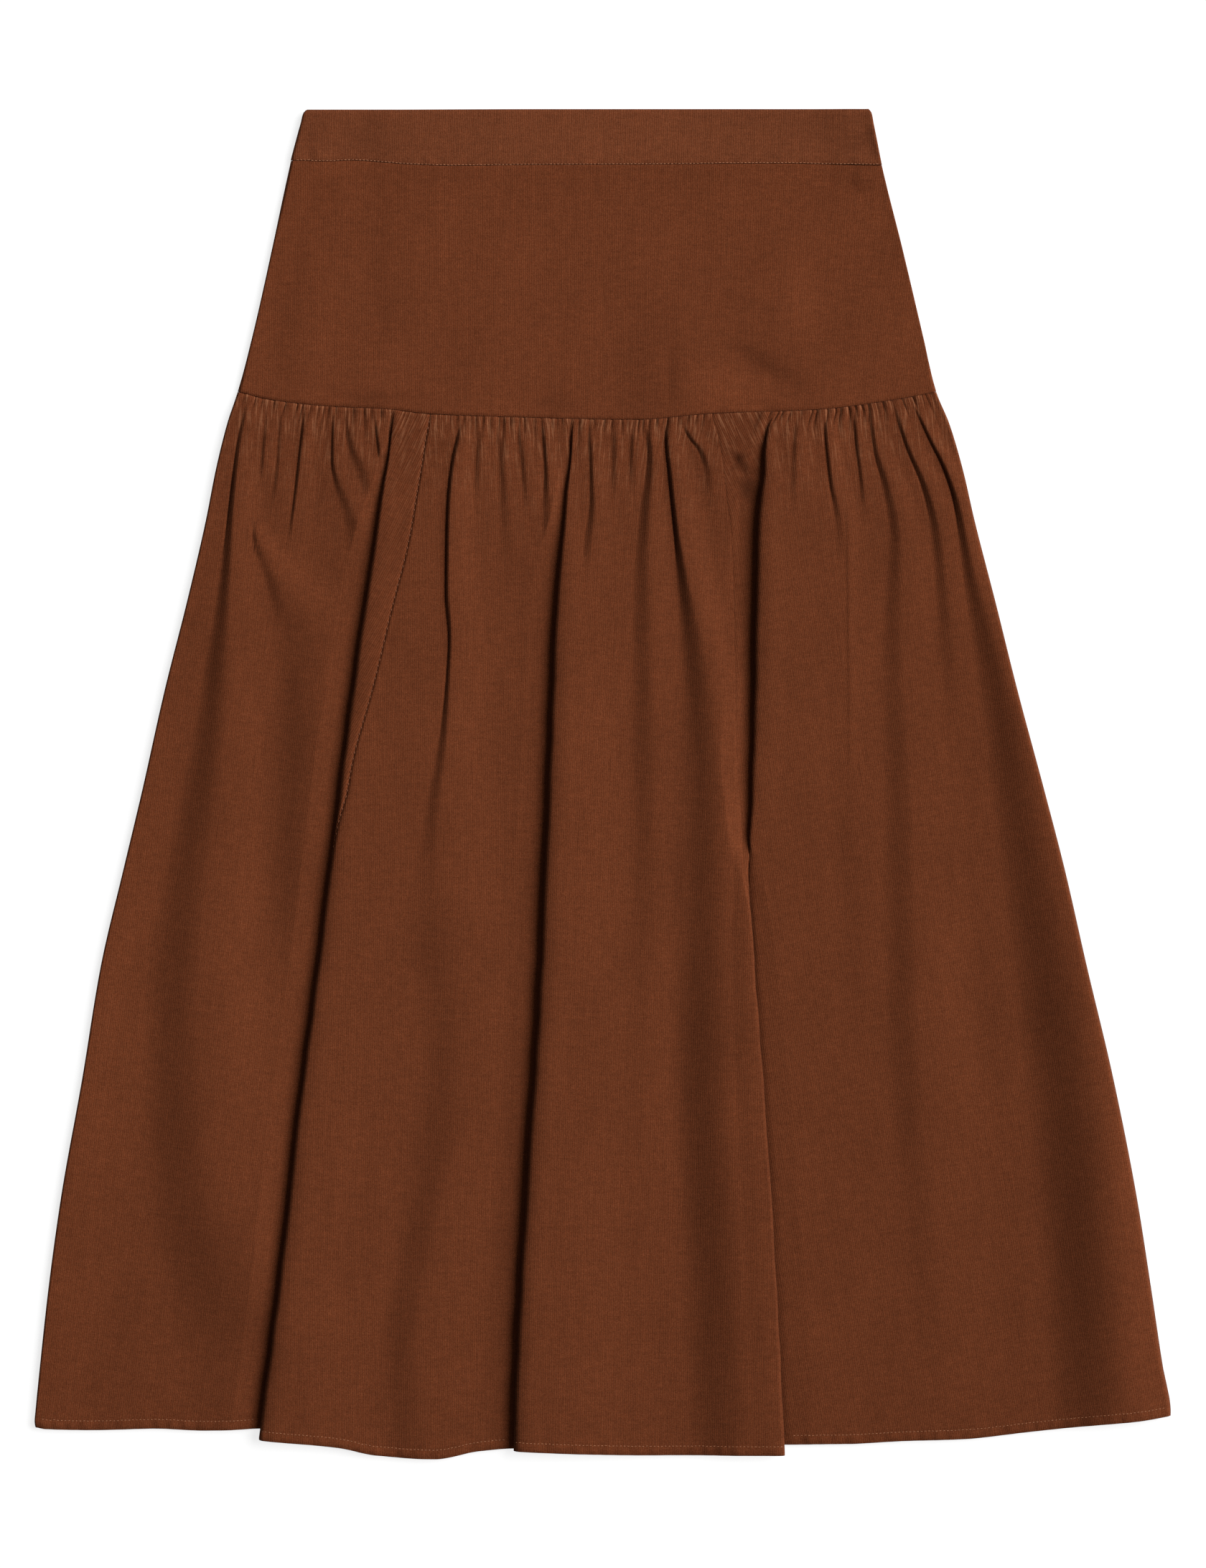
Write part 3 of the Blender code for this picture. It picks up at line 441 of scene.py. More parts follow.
# Gore seams: drop, and how far the seam lies past the large fold's edge.
LEFT_SEAM = (
    (195, 24.6), (214, 22.8), (250, 21.8), (270, 21.6), (292, 20.5), (316, 17.9), (353, 15.4),
    (387, 12.4), (414, 8.8), (445, 7), (465, 3.2), (488, 0), (520, -4),
)
RIGHT_SEAM = (
    (195, -38), (211, -30), (238, -25), (278, -16), (311, -12.8), (390, -9), (440, -5), (486, 0),
    (520, 4),
)

# Places within a large fold: its edge, the ends of the turned cloth, and where a seam is hidden.
EDGE_PLACE = 41 / SECTION
TURN_FIRST, TURN_LAST = 22 / SECTION, 30 / SECTION
HIDDEN_PLACE = 37 / SECTION
HIDDEN_PAST = -4.0     # a seam this far before the edge is out of sight
Seam = namedtuple("Seam", "table fold unit way groove opening")    # opening is half the gap
LEFT_GORE_SEAM = Seam(LEFT_SEAM, FOLD_LEFT, 1, 1, 0.55, 0.14)
RIGHT_GORE_SEAM = Seam(RIGHT_SEAM, FOLD_RIGHT, 5, -1, 0.15, 0.03)
SEAM_GROOVE_WIDTH = 0.8
SEAM_EDGE = 1.6        # strip along a seam with closer columns, at shares of its width
SEAM_SHARES = np.array([0, 0.06, 0.3, 0.62, 1])

# A gore: its name, columns as (first place, last place, count) with None for its seam, its seams,
# and its regions of grain as (last place, place of the reference line, table of drop and lean in
# degrees). Each region ends out of sight in a fold. The last two values are the places between which
# the grain slants.
Gore = namedtuple("Gore", "name spans first_seam last_seam regions bias_from bias_to")
GORES = (
    Gore(
        "tier_front_left",
        ((0, 0.025, 9), (0.025, 1, 192), (1, 1 + TURN_FIRST, 18), (1 + TURN_FIRST, 1 + TURN_LAST, 8),
         (1 + TURN_LAST, None, 40)),
        None, LEFT_GORE_SEAM,
        ((1.48, 0.62, ((190, 3), (300, 6), (500, 7.1), (860, 7.5))),
         (9, 1 + EDGE_PLACE, ((190, 24), (260, 27), (488, 32), (860, 30)))),
        1.48, 9,
    ),
    Gore(
        "tier_front_centre",
        ((None, 2.25, 34), (2.25, 2.66, 52), (2.66, 3, 40), (3, 3 + TURN_FIRST, 16),
         (3 + TURN_FIRST, 3 + TURN_LAST, 8), (3 + TURN_LAST, 4, 24), (4, 4.3, 40), (4.3, None, 100)),
        LEFT_GORE_SEAM, RIGHT_GORE_SEAM,
        ((3.48, 2.6, ((190, -2), (400, -0.9), (550, 1.7), (700, 1.6), (860, 0.5))),
         (9, 4.5, ((190, 3.7), (500, 2.9), (680, 1.8), (860, 1)))),
        9, 9,
    ),
    Gore(
        "tier_front_right",
        ((None, 5 + TURN_FIRST, 28), (5 + TURN_FIRST, 5 + TURN_LAST, 8), (5 + TURN_LAST, 6, 22),
         (6, 6.94, 180), (6.94, 7, 8)),
        RIGHT_GORE_SEAM, None,
        ((5.48, 5.2, ((190, -24), (238, -23), (262, -12), (290, -7), (860, -7))),
         (9, 6.4, ((190, -4.5), (300, -7.8), (500, -8.4), (860, -9.3)))),
        0, 5.48,
    ),
)
SLOPE_SHARE = 0.7      # share of a slope's height that counts as cloth across the ribs

TIER_DROP = 195.0
TIER_FALL = LENGTH - TIER_DROP
# Rows of the tier: down to a distance below the yoke seam, this far apart.
ROW_STEPS = (
    (2.0, 0.5), (20.0, 1.0), (90.0, 1.7), (150.0, 4.0), (228.0, 9.2), (322.0, 5.2), (TIER_FALL - 12.0, 9.2),
    (TIER_FALL - 0.8, 1.25), (TIER_FALL, 0.4),
)

# Grain of the yoke and waistband: across, lean in degrees.
YOKE_LEAN = ((-234, 1.6), (-150, 0.3), (-40, 0.2), (60, 1.2), (130, 3.4), (180, 6.4), (214, 9.0))
BAND_LEAN = ((-200, 2.6), (-40, 3.0), (120, 2.0), (180, -2.0))
# Height of the yoke over FLOOR by share of the way down, and drop of the waist edge by across.
YOKE_LIFT = ((0, 1.75), (0.12, 1.3), (0.5, 1.15), (0.88, 1.15), (1, 1.4))
WAIST_EDGE = ((-200, 0.8), (-120, 0.4), (-40, 0.1), (180, 0.1))

# What each piece of cloth was cut to, in metres: node, width, length, area where it isn't a rectangle,
# how it is held, and the piece that it rests on. Seam allowances, gathers, tucks and the hem's turning
# are in it.
CUTS = (
    ("waistband_front", 0.39, 0.042, None, "laid", "waistband_back"),
    ("yoke_front", 0.46, 0.19, 0.0760, "laid", "yoke_back"),
    ("tier_front_left", 0.22, 0.69, 0.1180, "gathered", "tier_back"),
    ("tier_front_centre", 0.40, 0.70, 0.2200, "gathered", "tier_back"),
    ("tier_front_right", 0.31, 0.70, 0.1650, "gathered", "tier_back"),
    ("waistband_back", 0.39, 0.042, None, "laid", None),
    ("yoke_back", 0.46, 0.19, 0.0760, "laid", None),
    ("tier_back", 0.80, 0.69, 0.4700, "gathered", None),
)

# The front waistband and yoke.
WAIST_DROP = 34.0
HIP_DROP = 181.0
FRONT_COLUMNS = 300
SIDE_CROWDING = 0.35   # how far the columns crowd towards the side edges
BAND_HEIGHT = 3.3      # middle of the front waistband
BAND_OVER_ZIP = 0.65
BAND_RIPPLE = (2.6, 1, 17.0)
YOKE_FIRST_ROWS = (0, 0.004, 0.008, 0.013)
YOKE_LAST_ROWS = (0.987, 0.992, 0.996, 1)
YOKE_MIDDLE = 115.0    # drop about which the yoke's grain leans
YOKE_OVER_ZIP = 1.2    # height over the zip, more above YOKE_ZIP_DROP
YOKE_ZIP_DROP = 48.0
ZIP_LENGTH = 152.0
ZIP_COVER = 13.0
ZIP_RAMP = 28.0

# The back pieces: node, curves along the upper and the lower edge, rows, wall, lean of the grain.
LEVEL = ((-400, 0), (400, 0))    # 0 all the way across
TIER_BACK_LEAN = ((-364, 6), (-120, 2), (0, 0), (120, -2), (364, -7))
BACK_COLUMNS = 160
BACKS = (
    ("waistband_back", LEVEL, WAIST_SEAM, 12, 1.5, LEVEL),
    ("yoke_back", WAIST_SEAM, YOKE_SEAM, 40, SHEET, LEVEL),
    ("tier_back", YOKE_SEAM, BACK_HEM, 120, SHEET, TIER_BACK_LEAN),
)

# Stitches: pitch, length, width.
HEM_STITCHES = (2.4, 1.55, 0.42)
WAIST_STITCHES = (2.35, 1.75, 0.50)
SEAM_TUCKS = (4.1, 1.9, 0.95)
HEM_SEED, WAIST_SEED, TUCK_SEED = 3, 5, 9
STITCH_RINGS = ((-0.36, 0.31), (0, 0.5), (0.36, 0.31))    # place along a stitch and radius
STITCH_SIDES = 6
STITCH_STRAY = 0.08
STITCH_FLATNESS = 0.8

# The studio, in metres and radians.
WHITE = (1, 1, 1, 1)
FLOOR_SIZE = 40
FLOOR_Z = -0.0004
FLOOR_GLOW = 0.78
KEY_STRENGTH = 6.0
KEY_WIDTH, KEY_AZIMUTH, KEY_HEIGHT = np.radians((54, 22, 34))
FILL_STRENGTH = 0.15
PHOTO_HEIGHT = 2184    # pixels
PIXEL = 0.46           # millimetres
CAMERA_SHIFT = (0.0002, 0.0001)


def through(knots, values, at):
    """Values at the places given, on a curve through the knots that never overshoots them."""
    knots = np.asarray(knots, float)
    values = np.asarray(values, float)
    if values.ndim == 1:
        values = np.repeat(values[:, None], len(at), axis=1)
    step = np.diff(knots)[:, None]
    rise = np.diff(values, axis=0) / step
    same = rise[1:] * rise[:-1] > 0
    before, after = np.where(same, rise[:-1], 1.0), np.where(same, rise[1:], 1.0)
    near, far = 2 * step[1:] + step[:-1], step[1:] + 2 * step[:-1]
    inner = np.where(same, (near + far) / (near / before + far / after), 0.0)
    slope = np.concatenate([rise[:1], inner, rise[-1:]])
    i = np.clip(np.searchsorted(knots, at, side="right") - 1, 0, len(knots) - 2)
    j = np.arange(len(at))
    width = knots[i + 1] - knots[i]
    t = np.clip((at - knots[i]) / width, 0, 1)
    start, end = values[i, j], values[i + 1, j]
    bend = t * (1 - t) * width * ((1 - t) * slope[i, j] - t * slope[i + 1, j])
    return start + (end - start) * t * t * (3 - 2 * t) + bend


def column(table, index, at):
    """One column of a table at the places given, its first column being the place."""
    at = np.atleast_1d(np.asarray(at, float))
    found = through([row[0] for row in table], [row[index] for row in table], at.ravel())
    return found.reshape(at.shape)


def ease(t):
    """0 to 1 with level ends."""
    t = np.clip(t, 0, 1)
    return t * t * (3 - 2 * t)


def hump(t):
    """1 at 0, falling to 0 at 1 and beyond."""
    return (1 + np.cos(np.pi * np.clip(np.abs(t), 0, 1))) / 2


def bell(t):
    """1 at 0, falling softly to next to nothing at 2."""
    return np.exp(-(t**2))


def ripple(at, length, stray, stray_length):
    """An uneven wave between -1 and 1."""
    return np.sin(at / length + stray * np.sin(at / stray_length))


def soft_edge(distance, width, depth):
    """How far a rounded edge sinks, at distances inwards from it."""
    return depth * (1 - ease(distance / width))


def side_rounding(across, drop):
    """0 at the skirt's side edges, 1 from EDGE_ROUND inside them."""
    inside = np.minimum(across - column(OUTLINE, 1, drop), column(OUTLINE, 2, drop) - across)
    t = np.clip(inside / EDGE_ROUND, 0, 1)
    return np.sqrt(1 - (1 - t) ** 2)


def patches(table, across, drop, sharpness=1):
    """Sum of a table's dents or brushed patches."""
    total = np.zeros(across.shape)
    for x, d, half_width, half_length, lean, amount in table:
        angle = np.radians(lean)
        sideways = (across - x) * np.cos(angle) + (drop - d) * np.sin(angle)
        along = (drop - d) * np.cos(angle) - (across - x) * np.sin(angle)
        away = (sideways / half_width) ** 2 + (along / half_length) ** 2
        total += amount * np.exp(-(away**sharpness))
    return total


def free_height(across, drop):
    """Height of the free cloth of the tier over FLOOR."""
    inside = across - column(OUTLINE, 1, drop)
    height = LOFT * (LEFT_LOFT + (1 - LEFT_LOFT) * ease(inside / LEFT_FLAT))
    for crease in CREASES:
        face, rise, steep, gentle = (column(crease, index, drop) for index in (1, 2, 3, 4))
        from_crest = across - (face + steep / 2)
        height += rise * hump(np.where(from_crest < 0, from_crest / steep, from_crest / (GENTLER * gentle)))
        pinch = PINCH * np.interp(rise, PINCH_RISE, (0, 1)) * np.interp(steep, PINCH_STEEP, (1, 0))
        height -= pinch * bell((from_crest + FOOT * steep) / PINCH_WIDTH)
    for fold in FOLDS:
        edge, tuck, rise = (column(fold, index, drop) for index in (1, 2, 5))
        behind = (across - edge) * np.sign(tuck)
        height += np.where(behind > 0, rise * hump(behind / RISE_SPREAD), 0)
    height -= patches(TIER_DENTS, across, drop)
    return np.maximum(height, LOWEST_CREASE) * side_rounding(across, drop)


def fold_section(fold, place, drop):
    """Across and height of points on a large fold; place runs from 0, its left end, to 1."""
    edge, tuck, roll, reach = (column(fold, index, drop) for index in (1, 2, 3, 4))
    left, right = free_height(edge - reach, drop), free_height(edge + reach, drop)
    right_on_top = tuck >= 0
    way = np.where(right_on_top, 1, -1)
    lower = np.where(right_on_top, left, right)
    upper = np.where(right_on_top, right, left)
    depth = np.abs(tuck)
    edge = edge + EDGE_WAVE * ripple(drop, *EDGE_RIPPLE) * np.sin(np.pi * place)
    overlap = ease(depth / TUCK_TO_OVERLAP)
    level = np.where(right_on_top, 0, LEVEL_WHEN_TURNED)
    closing = np.where(drop > CLOSED_GROOVE_DROP, 1 - CLOSED_GROOVE, 0)
    offsets, heights = [], []
    for pleat, groove in zip(PLEAT, GROOVE):
        r, t, d, low, high, layer, crest = (
            overlap * a + (1 - overlap) * b for a, b in zip(pleat[1:], groove[1:])
        )
        t = t - (1 - overlap) * groove[2] * closing
        if pleat[0] < LOWER_SIDE_END:
            low = low + (1 - low) * level * overlap
        offsets.append(r * reach + t * TURN + d * depth)
        heights.append(low * lower + high * upper + layer * 2 * TURN + crest * roll)
    knots = [row[0] for row in PLEAT]
    at = np.where(right_on_top, place, 1 - place) * SECTION
    return edge + way * through(knots, offsets, at), through(knots, heights, at)


def panel_section(panel, place, drop):
    """Across and height of points on the free cloth between two large folds or side edges."""
    if panel == 0:
        first = column(OUTLINE, 1, drop)
    else:
        first = column(FOLDS[panel - 1], 1, drop) + column(FOLDS[panel - 1], 4, drop)
    if panel == len(FOLDS):
        last = column(OUTLINE, 2, drop)
    else:
        last = column(FOLDS[panel], 1, drop) - column(FOLDS[panel], 4, drop)
    across = first + (last - first) * place
    return across, free_height(across, drop)


def section(places, drop):
    """Across and height at places 0 to 7 along the front."""
    across, height = np.zeros(places.shape), np.zeros(places.shape)
    last_unit = 2 * len(FOLDS)
    for unit in range(last_unit + 1):
        here = np.clip(np.floor(places), 0, last_unit) == unit
        if here.any():
            if unit % 2 == 0:
                found = panel_section(unit // 2, places[here] - unit, drop[here])
            else:
                found = fold_section(FOLDS[unit // 2], places[here] - unit, drop[here])
            across[here], height[here] = found
    return across, height


def gather_list():
    """Every gather: across at the seam, half-width, height, length, lean, depth and length of its nip."""
    random = np.random.default_rng(GATHER_SEED)
    found, x = [], GATHER_SIZE[0][0]
    while x < GATHER_SIZE[-1][0]:
        size, length, pitch = (float(column(GATHER_SIZE, index, x)[0]) for index in (1, 2, 3))
        width = pitch * random.choice(GATHER_WIDTHS)
        height = size * random.uniform(0.3, 0.95) * min(width / pitch, 1.1)
        reach = random.choice(GATHER_REACHES)
        found.append((
            x + width / 2,
            width / 2,
            height / max(1.0, 0.75 * reach),
            length * reach,
            random.uniform(-0.10, 0.10),
            size * random.uniform(0.05, 0.55),
            length * random.uniform(0.2, 1.0),
        ))
        x += width
    return found


GATHERS = gather_list()


def gathers(seam_across, below):
    """Height of the gathers; each follows its own line of cloth down from the seam."""
    height = np.zeros(seam_across.shape)
    near = below < GATHER_ZONE
    x, down = seam_across[near], below[near]
    relief = np.zeros(len(x))
    for middle, half, rise, length, lean, nip, nip_length in GATHERS:
        away = x - middle - lean * down
        relief += rise * hump(away / (1.5 * half)) * np.exp(-((down / length) ** 1.3))
        relief -= nip * bell((away + half) / NIP_WIDTH) * bell(down / nip_length)
    height[near] = relief
    return height


def hem_relief(across, above_edge):
    """The stitched hem: a pressed line, a slightly fuller turning with small puckers, a soft edge."""
    line = HEM_LINE * bell((above_edge - HEM_STITCH) / HEM_LINE_WIDTH)
    inside = ease(above_edge / 1.5) * soft_edge(above_edge - HEM_STITCH + 1.2, 1.6, 1)
    puckers = 0.12 * ripple(across, *HEM_RIPPLE) + 0.10 * np.sin(across / 4.1)
    return inside * (HEM_FULLNESS + puckers) - line - soft_edge(above_edge, 1.6, 0.45)


def front_tier(places, below_share):
    """Points of the front tier and their drop, at places along it and a share of the way down."""
    seam_drop = np.full(places.shape, TIER_DROP)
    for _ in range(3):
        seam_across, _ = section(places, seam_drop)
        seam_drop = column(YOKE_SEAM, 1, seam_across) + GAP / 2
    hem_drop = column(FRONT_HEM, 1, places)
    drop = seam_drop + (hem_drop - seam_drop) * below_share
    across, smooth = section(places, drop)
    below = drop - seam_drop
    free = ease(below / (HELD_BELOW_SEAM + 0.5 * column(GATHER_SIZE, 2, seam_across)))
    relief = SEAM_LIFT * (1 - free) + gathers(seam_across, below) + hem_relief(across, hem_drop - drop)
    height = smooth * free + relief * side_rounding(across, drop) - soft_edge(below, 1.4, 0.7)
    return across, drop, FLOOR + np.maximum(height, LOWEST_CLOTH)


def seam_place(seam, drop):
    """Places along the front of a gore seam, at drops."""
    beyond = seam.way * column(seam.table, 1, drop)
    reach = column(seam.fold, 4, drop)
    on_roll = np.where(
        beyond < 0,
        EDGE_PLACE - (EDGE_PLACE - HIDDEN_PLACE) * np.clip(beyond / HIDDEN_PAST, 0, 1),
        EDGE_PLACE + (1 - EDGE_PLACE) * np.clip(beyond / reach, 0, 1),
    )
    if seam.way < 0:
        on_roll = 1 - on_roll
    panel = (seam.unit + seam.way) // 2
    first, _ = panel_section(panel, np.zeros(len(drop)), drop)
    last, _ = panel_section(panel, np.ones(len(drop)), drop)
    past_roll = np.maximum(beyond - reach, 0) / (last - first)
    return seam.unit + on_roll + seam.way * past_roll


def moved_along(place, drop, distance):
    """The places a distance further along the section at their drops."""
    step = 0.002
    before = section(place - step, drop)
    after = section(place + step, drop)
    length = np.hypot(after[0] - before[0], after[1] - before[1])
    return place + distance * 2 * step / length


def seam_columns(seam, inwards, far, count, drop):
    """Places of the closer columns from a seam to a span of columns that ends at far."""
    middle = seam_place(seam, drop)
    edge = moved_along(middle, drop, inwards * seam.opening)
    inner = moved_along(middle, drop, inwards * SEAM_EDGE)
    nearest = edge + (far - edge) / (count + 1) * 2
    inner = inwards * np.minimum(inwards * inner, inwards * nearest)
    return edge[:, None] + (inner - edge)[:, None] * SEAM_SHARES


def gore_places(gore, drop):
    """Places of one gore's columns at its rows' drops, closer together next to its seams."""
    parts = []
    for first, last, count in gore.spans:
        if first is None:
            closer = seam_columns(gore.first_seam, 1, last, count, drop)
            parts.append(closer[:, :-1])
            first = closer[:, -1]
        if last is None:
            closer = seam_columns(gore.last_seam, -1, first, count, drop)
            last = closer[:, -1]
        first, last = first + 0 * drop, last + 0 * drop
        parts.append(np.linspace(first, last, count + 1, axis=1)[:, :-1])
    parts.append(closer[:, ::-1] if gore.last_seam else last[:, None])
    return np.concatenate(parts, axis=1)


def row_shares():
    """Shares of the way from the yoke seam to the hem, closer together at both."""
    distances = [0.0]
    for until, step in ROW_STEPS:
        count = max(1, round((until - distances[-1]) / step))
        distances += list(np.linspace(distances[-1], until, count + 1)[1:])
    return np.array(distances) / TIER_FALL


def grain(gore, places, across, drop, height):
    """The cord's own coordinates over a gore's grid, in millimetres across and along its ribs."""
    u, v = np.zeros(across.shape), np.zeros(across.shape)
    steps = np.hypot(np.diff(across), SLOPE_SHARE * np.diff(height))
    along = np.concatenate([np.zeros((len(across), 1)), np.cumsum(steps, axis=1)], axis=1)
    start = -1.0
    downwards = np.arange(TIER_DROP - 20, LENGTH + 10)    # every millimetre
    for last, reference, lean in gore.regions:
        angle = np.radians(column(lean, 1, drop))
        shift = np.interp(drop, downwards, np.cumsum(np.sin(np.radians(column(lean, 1, downwards)))))
        origin = np.interp(reference, places[0], across[0])
        for r in range(len(across)):
            here = (places[r] > start) & (places[r] <= last)
            at = np.interp(reference, places[r], along[r])
            x = np.interp(reference, places[r], across[r]) + along[r] - at - origin
            u[r, here] = (x * np.cos(angle[r]) + shift[r])[here]
            v[r, here] = ((drop[r] - TIER_DROP) * np.cos(angle[r]) - x * np.sin(angle[r]))[here]
        start = last
    return u, v


def seam_grooves(gore, places, drop):
    """Depth of the grooves along a gore's seams."""
    depth = np.zeros(places.shape)
    for seam in (gore.first_seam, gore.last_seam):
        if seam is not None:
            place = seam_place(seam, drop)
            per_mm = moved_along(place, drop, 1.0) - place
            away = (places - place[:, None]) / per_mm[:, None]
            depth += seam.groove * bell(away / SEAM_GROOVE_WIDTH)
    return depth


def grid_points(across, drop, z):
    """Points in the model's frame, in millimetres."""
    return np.stack([across, LENGTH / 2 - drop, z], axis=-1)


def add_object(name, data):
    """A new object in the scene."""
    added = bpy.data.objects.new(name, data)
    bpy.context.scene.collection.objects.link(added)
    return added


def add_piece(name, points, faces, material):
    """A smooth mesh through points in millimetres, as a piece of the skirt."""
    mesh = bpy.data.meshes.new(name)
    mesh.from_pydata((points * MM).tolist(), [], faces)
    mesh.shade_smooth()
    mesh.materials.append(material)
    piece = add_object(name, mesh)
    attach(piece, BODY)
    return piece


def add_layer(piece, name, values):
    """Values at a sheet's grid points that its material reads."""
    layer = piece.data.attributes.new(name, "FLOAT", "POINT")
    layer.data.foreach_set("value", values.ravel())


def build_sheet(node, points, cord, wall, material):
    """A closed wall of cloth round a grid of points, with the cord's UV map, in place of a CAD node."""
    numbers = np.arange(points[..., 0].size).reshape(points.shape[:2])
    faces = np.stack([numbers[:-1, :-1], numbers[1:, :-1], numbers[1:, 1:], numbers[:-1, 1:]], axis=-1)
    faces = faces.reshape(-1, 4)
    piece = add_piece(node + "_cloth", points.reshape(-1, 3), faces.tolist(), material)
    uv = piece.data.uv_layers.new(name="cord")
    uv.data.foreach_set("uv", (cord.reshape(-1, 2)[faces.ravel()] / UV_UNIT).ravel())
    solidify = piece.modifiers.new("wall", "SOLIDIFY")
    solidify.thickness = wall * MM
    solidify.offset = 0
    solidify.use_even_offset = False
    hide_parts(node)
    return piece


def tier_gore(gore, material):
    """One gore of the front tier, with its folds, gathers, hem and seams."""
    shares = row_shares()
    nominal = TIER_DROP + shares * TIER_FALL
    places = gore_places(gore, nominal)
    across, drop, z = front_tier(places, shares[:, None])
    cord = np.stack(grain(gore, places, across, drop, z), axis=-1)
    z = z - seam_grooves(gore, places, nominal)
    piece = build_sheet(gore.name, grid_points(across, drop, z), cord, SHEET, material)
    bias = (places > gore.bias_from) & (places <= gore.bias_to)
    # where the gathers' painted highlights and painted shade show, fading below the seam
    add_layer(piece, "gathered", np.exp((drop[0] - drop) / GATHER_PAINT_FADE))
    add_layer(piece, "bias", bias.astype(float))
    # patches of painted shade and painted light, partly brushed pile
    add_layer(piece, "nap_and_shading", patches(TIER_NAP_AND_SHADING, across, drop, NAP_AND_SHADING_SHARPNESS))
    return piece


def zip_cover(across, drop):
    """1 where the front cloth lies over the zip, 0 elsewhere."""
    near = ease((across - (column(OUTLINE, 2, drop) - ZIP_COVER - ZIP_RAMP)) / ZIP_RAMP)
    return near * soft_edge(drop - ZIP_LENGTH - 6, 16, 1)


def front_grid(shares, drops, top, top_gap, last):
    """Grid of a front piece: across, drop and distances from its upper and lower edge."""
    crowded = (1 - np.cos(np.linspace(0, np.pi, FRONT_COLUMNS))) / 2
    even = np.linspace(0, 1, FRONT_COLUMNS)
    columns = SIDE_CROWDING * crowded + (1 - SIDE_CROWDING) * even
    shares = np.reshape(shares, (-1, 1))
    nominal = drops[0] + shares * (drops[1] - drops[0])
    left, right = column(OUTLINE, 1, nominal), column(OUTLINE, 2, nominal)
    x = left + (right - left) * columns
    first = column(top, 1, x) + top_gap
    end = column(last, 1, x) - GAP / 2
    drop = first + shares * (end - first)
    return x, drop, drop - first, end - drop


def lean_grain(lean, across, drop, middle):
    """The cord's coordinates over cloth whose grain leans by a table of across and degrees."""
    slope = np.tan(np.radians(column(lean, 1, across)))
    return np.stack([across + slope * (drop - middle), drop - middle], axis=-1)


def band_height(x, drop):
    """Height of the middle of the front waistband, soft at the top edge and sides."""
    side = side_rounding(x, drop)
    sunk = (patches(BAND_DENTS, x, drop) + soft_edge(drop, 3, 0.35)) * side + 0.60 * (1 - side)
    return BAND_HEIGHT + BAND_OVER_ZIP * zip_cover(x, drop) - sunk


def waistband_front(material):
    """The front waistband: two pressed layers."""
    x, drop, _, above = front_grid(np.linspace(0, 1, 40), (0, WAIST_DROP), WAIST_EDGE, 0, WAIST_SEAM)
    puckers = 0.10 * ripple(x, *BAND_RIPPLE) * bell((above - 1.5) / 2.5)
    z = band_height(x, drop) + puckers - soft_edge(above, 1.3, 0.30)
    cord = lean_grain(BAND_LEAN, x, drop, WAIST_DROP / 2)
    piece = build_sheet("waistband_front", grid_points(x, drop, z), cord, BAND_SHEET, material)
    # patches of painted shade and painted light, partly brushed pile
    add_layer(piece, "nap_and_shading", patches(BAND_NAP_AND_SHADING, x, drop, NAP_AND_SHADING_SHARPNESS))
    return piece


def yoke_front(material):
    """The fitted hip yoke with its faint undulations."""
    shares = np.array([*YOKE_FIRST_ROWS, *np.linspace(0.02, 0.98, 90), *YOKE_LAST_ROWS])
    x, drop, below, above = front_grid(shares, (WAIST_DROP, HIP_DROP), WAIST_SEAM, GAP / 2, YOKE_SEAM)
    height = column(YOKE_LIFT, 1, shares)[:, None] - patches(YOKE_DENTS, x, drop)
    over_zip = YOKE_OVER_ZIP + soft_edge(drop - YOKE_ZIP_DROP, 8, 0.6)
    height = np.maximum(height * side_rounding(x, drop), over_zip * zip_cover(x, drop))
    height = height - soft_edge(below, 1.3, 0.15) - soft_edge(above, 1.6, 0.60)
    z = FLOOR + np.maximum(height, 0)
    cord = lean_grain(YOKE_LEAN, x, drop, YOKE_MIDDLE)
    piece = build_sheet("yoke_front", grid_points(x, drop, z), cord, SHEET, material)
    # patches of painted shade and painted light, partly brushed pile
    add_layer(piece, "nap_and_shading", patches(YOKE_NAP_AND_SHADING, x, drop, NAP_AND_SHADING_SHARPNESS))
    return piece


def back_sheet(node, top, last, rows, wall, lean, material):
    """A back piece, flat on the surface, between two curves of drop against across."""
    shares = np.linspace(0, 1, rows)[:, None]

    def drop_at(x):
        return column(top, 1, x) * (1 - shares) + column(last, 1, x) * shares

    x = np.zeros((rows, BACK_COLUMNS))
    for _ in range(3):
        drop = drop_at(x)
        left = column(OUTLINE, 1, drop) + SIDE_INSET
        right = column(OUTLINE, 2, drop) - SIDE_INSET
        x = left + (right - left) * np.linspace(0, 1, BACK_COLUMNS)
    drop = drop_at(x)
    z = np.full(x.shape, wall / 2 + LIFT_OFF)
    cord = lean_grain(lean, x, drop, drop.mean())
    return build_sheet(node, grid_points(x, drop, z), cord, wall, material)


def stitch_mesh():
    """Points and faces of one stitch, a short fat capsule along X with a length and width of 1."""
    angles = 2 * np.pi * np.arange(STITCH_SIDES) / STITCH_SIDES
    points = [(x, r * np.cos(a), r * np.sin(a)) for x, r in STITCH_RINGS for a in angles]
    points += [(-0.5, 0, 0), (0.5, 0, 0)]
    faces = []
    for k in range(STITCH_SIDES):
        after = (k + 1) % STITCH_SIDES
        for ring in (0, STITCH_SIDES):
            faces.append((ring + k, ring + after, ring + after + STITCH_SIDES, ring + k + STITCH_SIDES))
        faces.append((len(points) - 2, after, k))
        faces.append((len(points) - 1, 2 * STITCH_SIDES + k, 2 * STITCH_SIDES + after))
    return np.array(points), faces


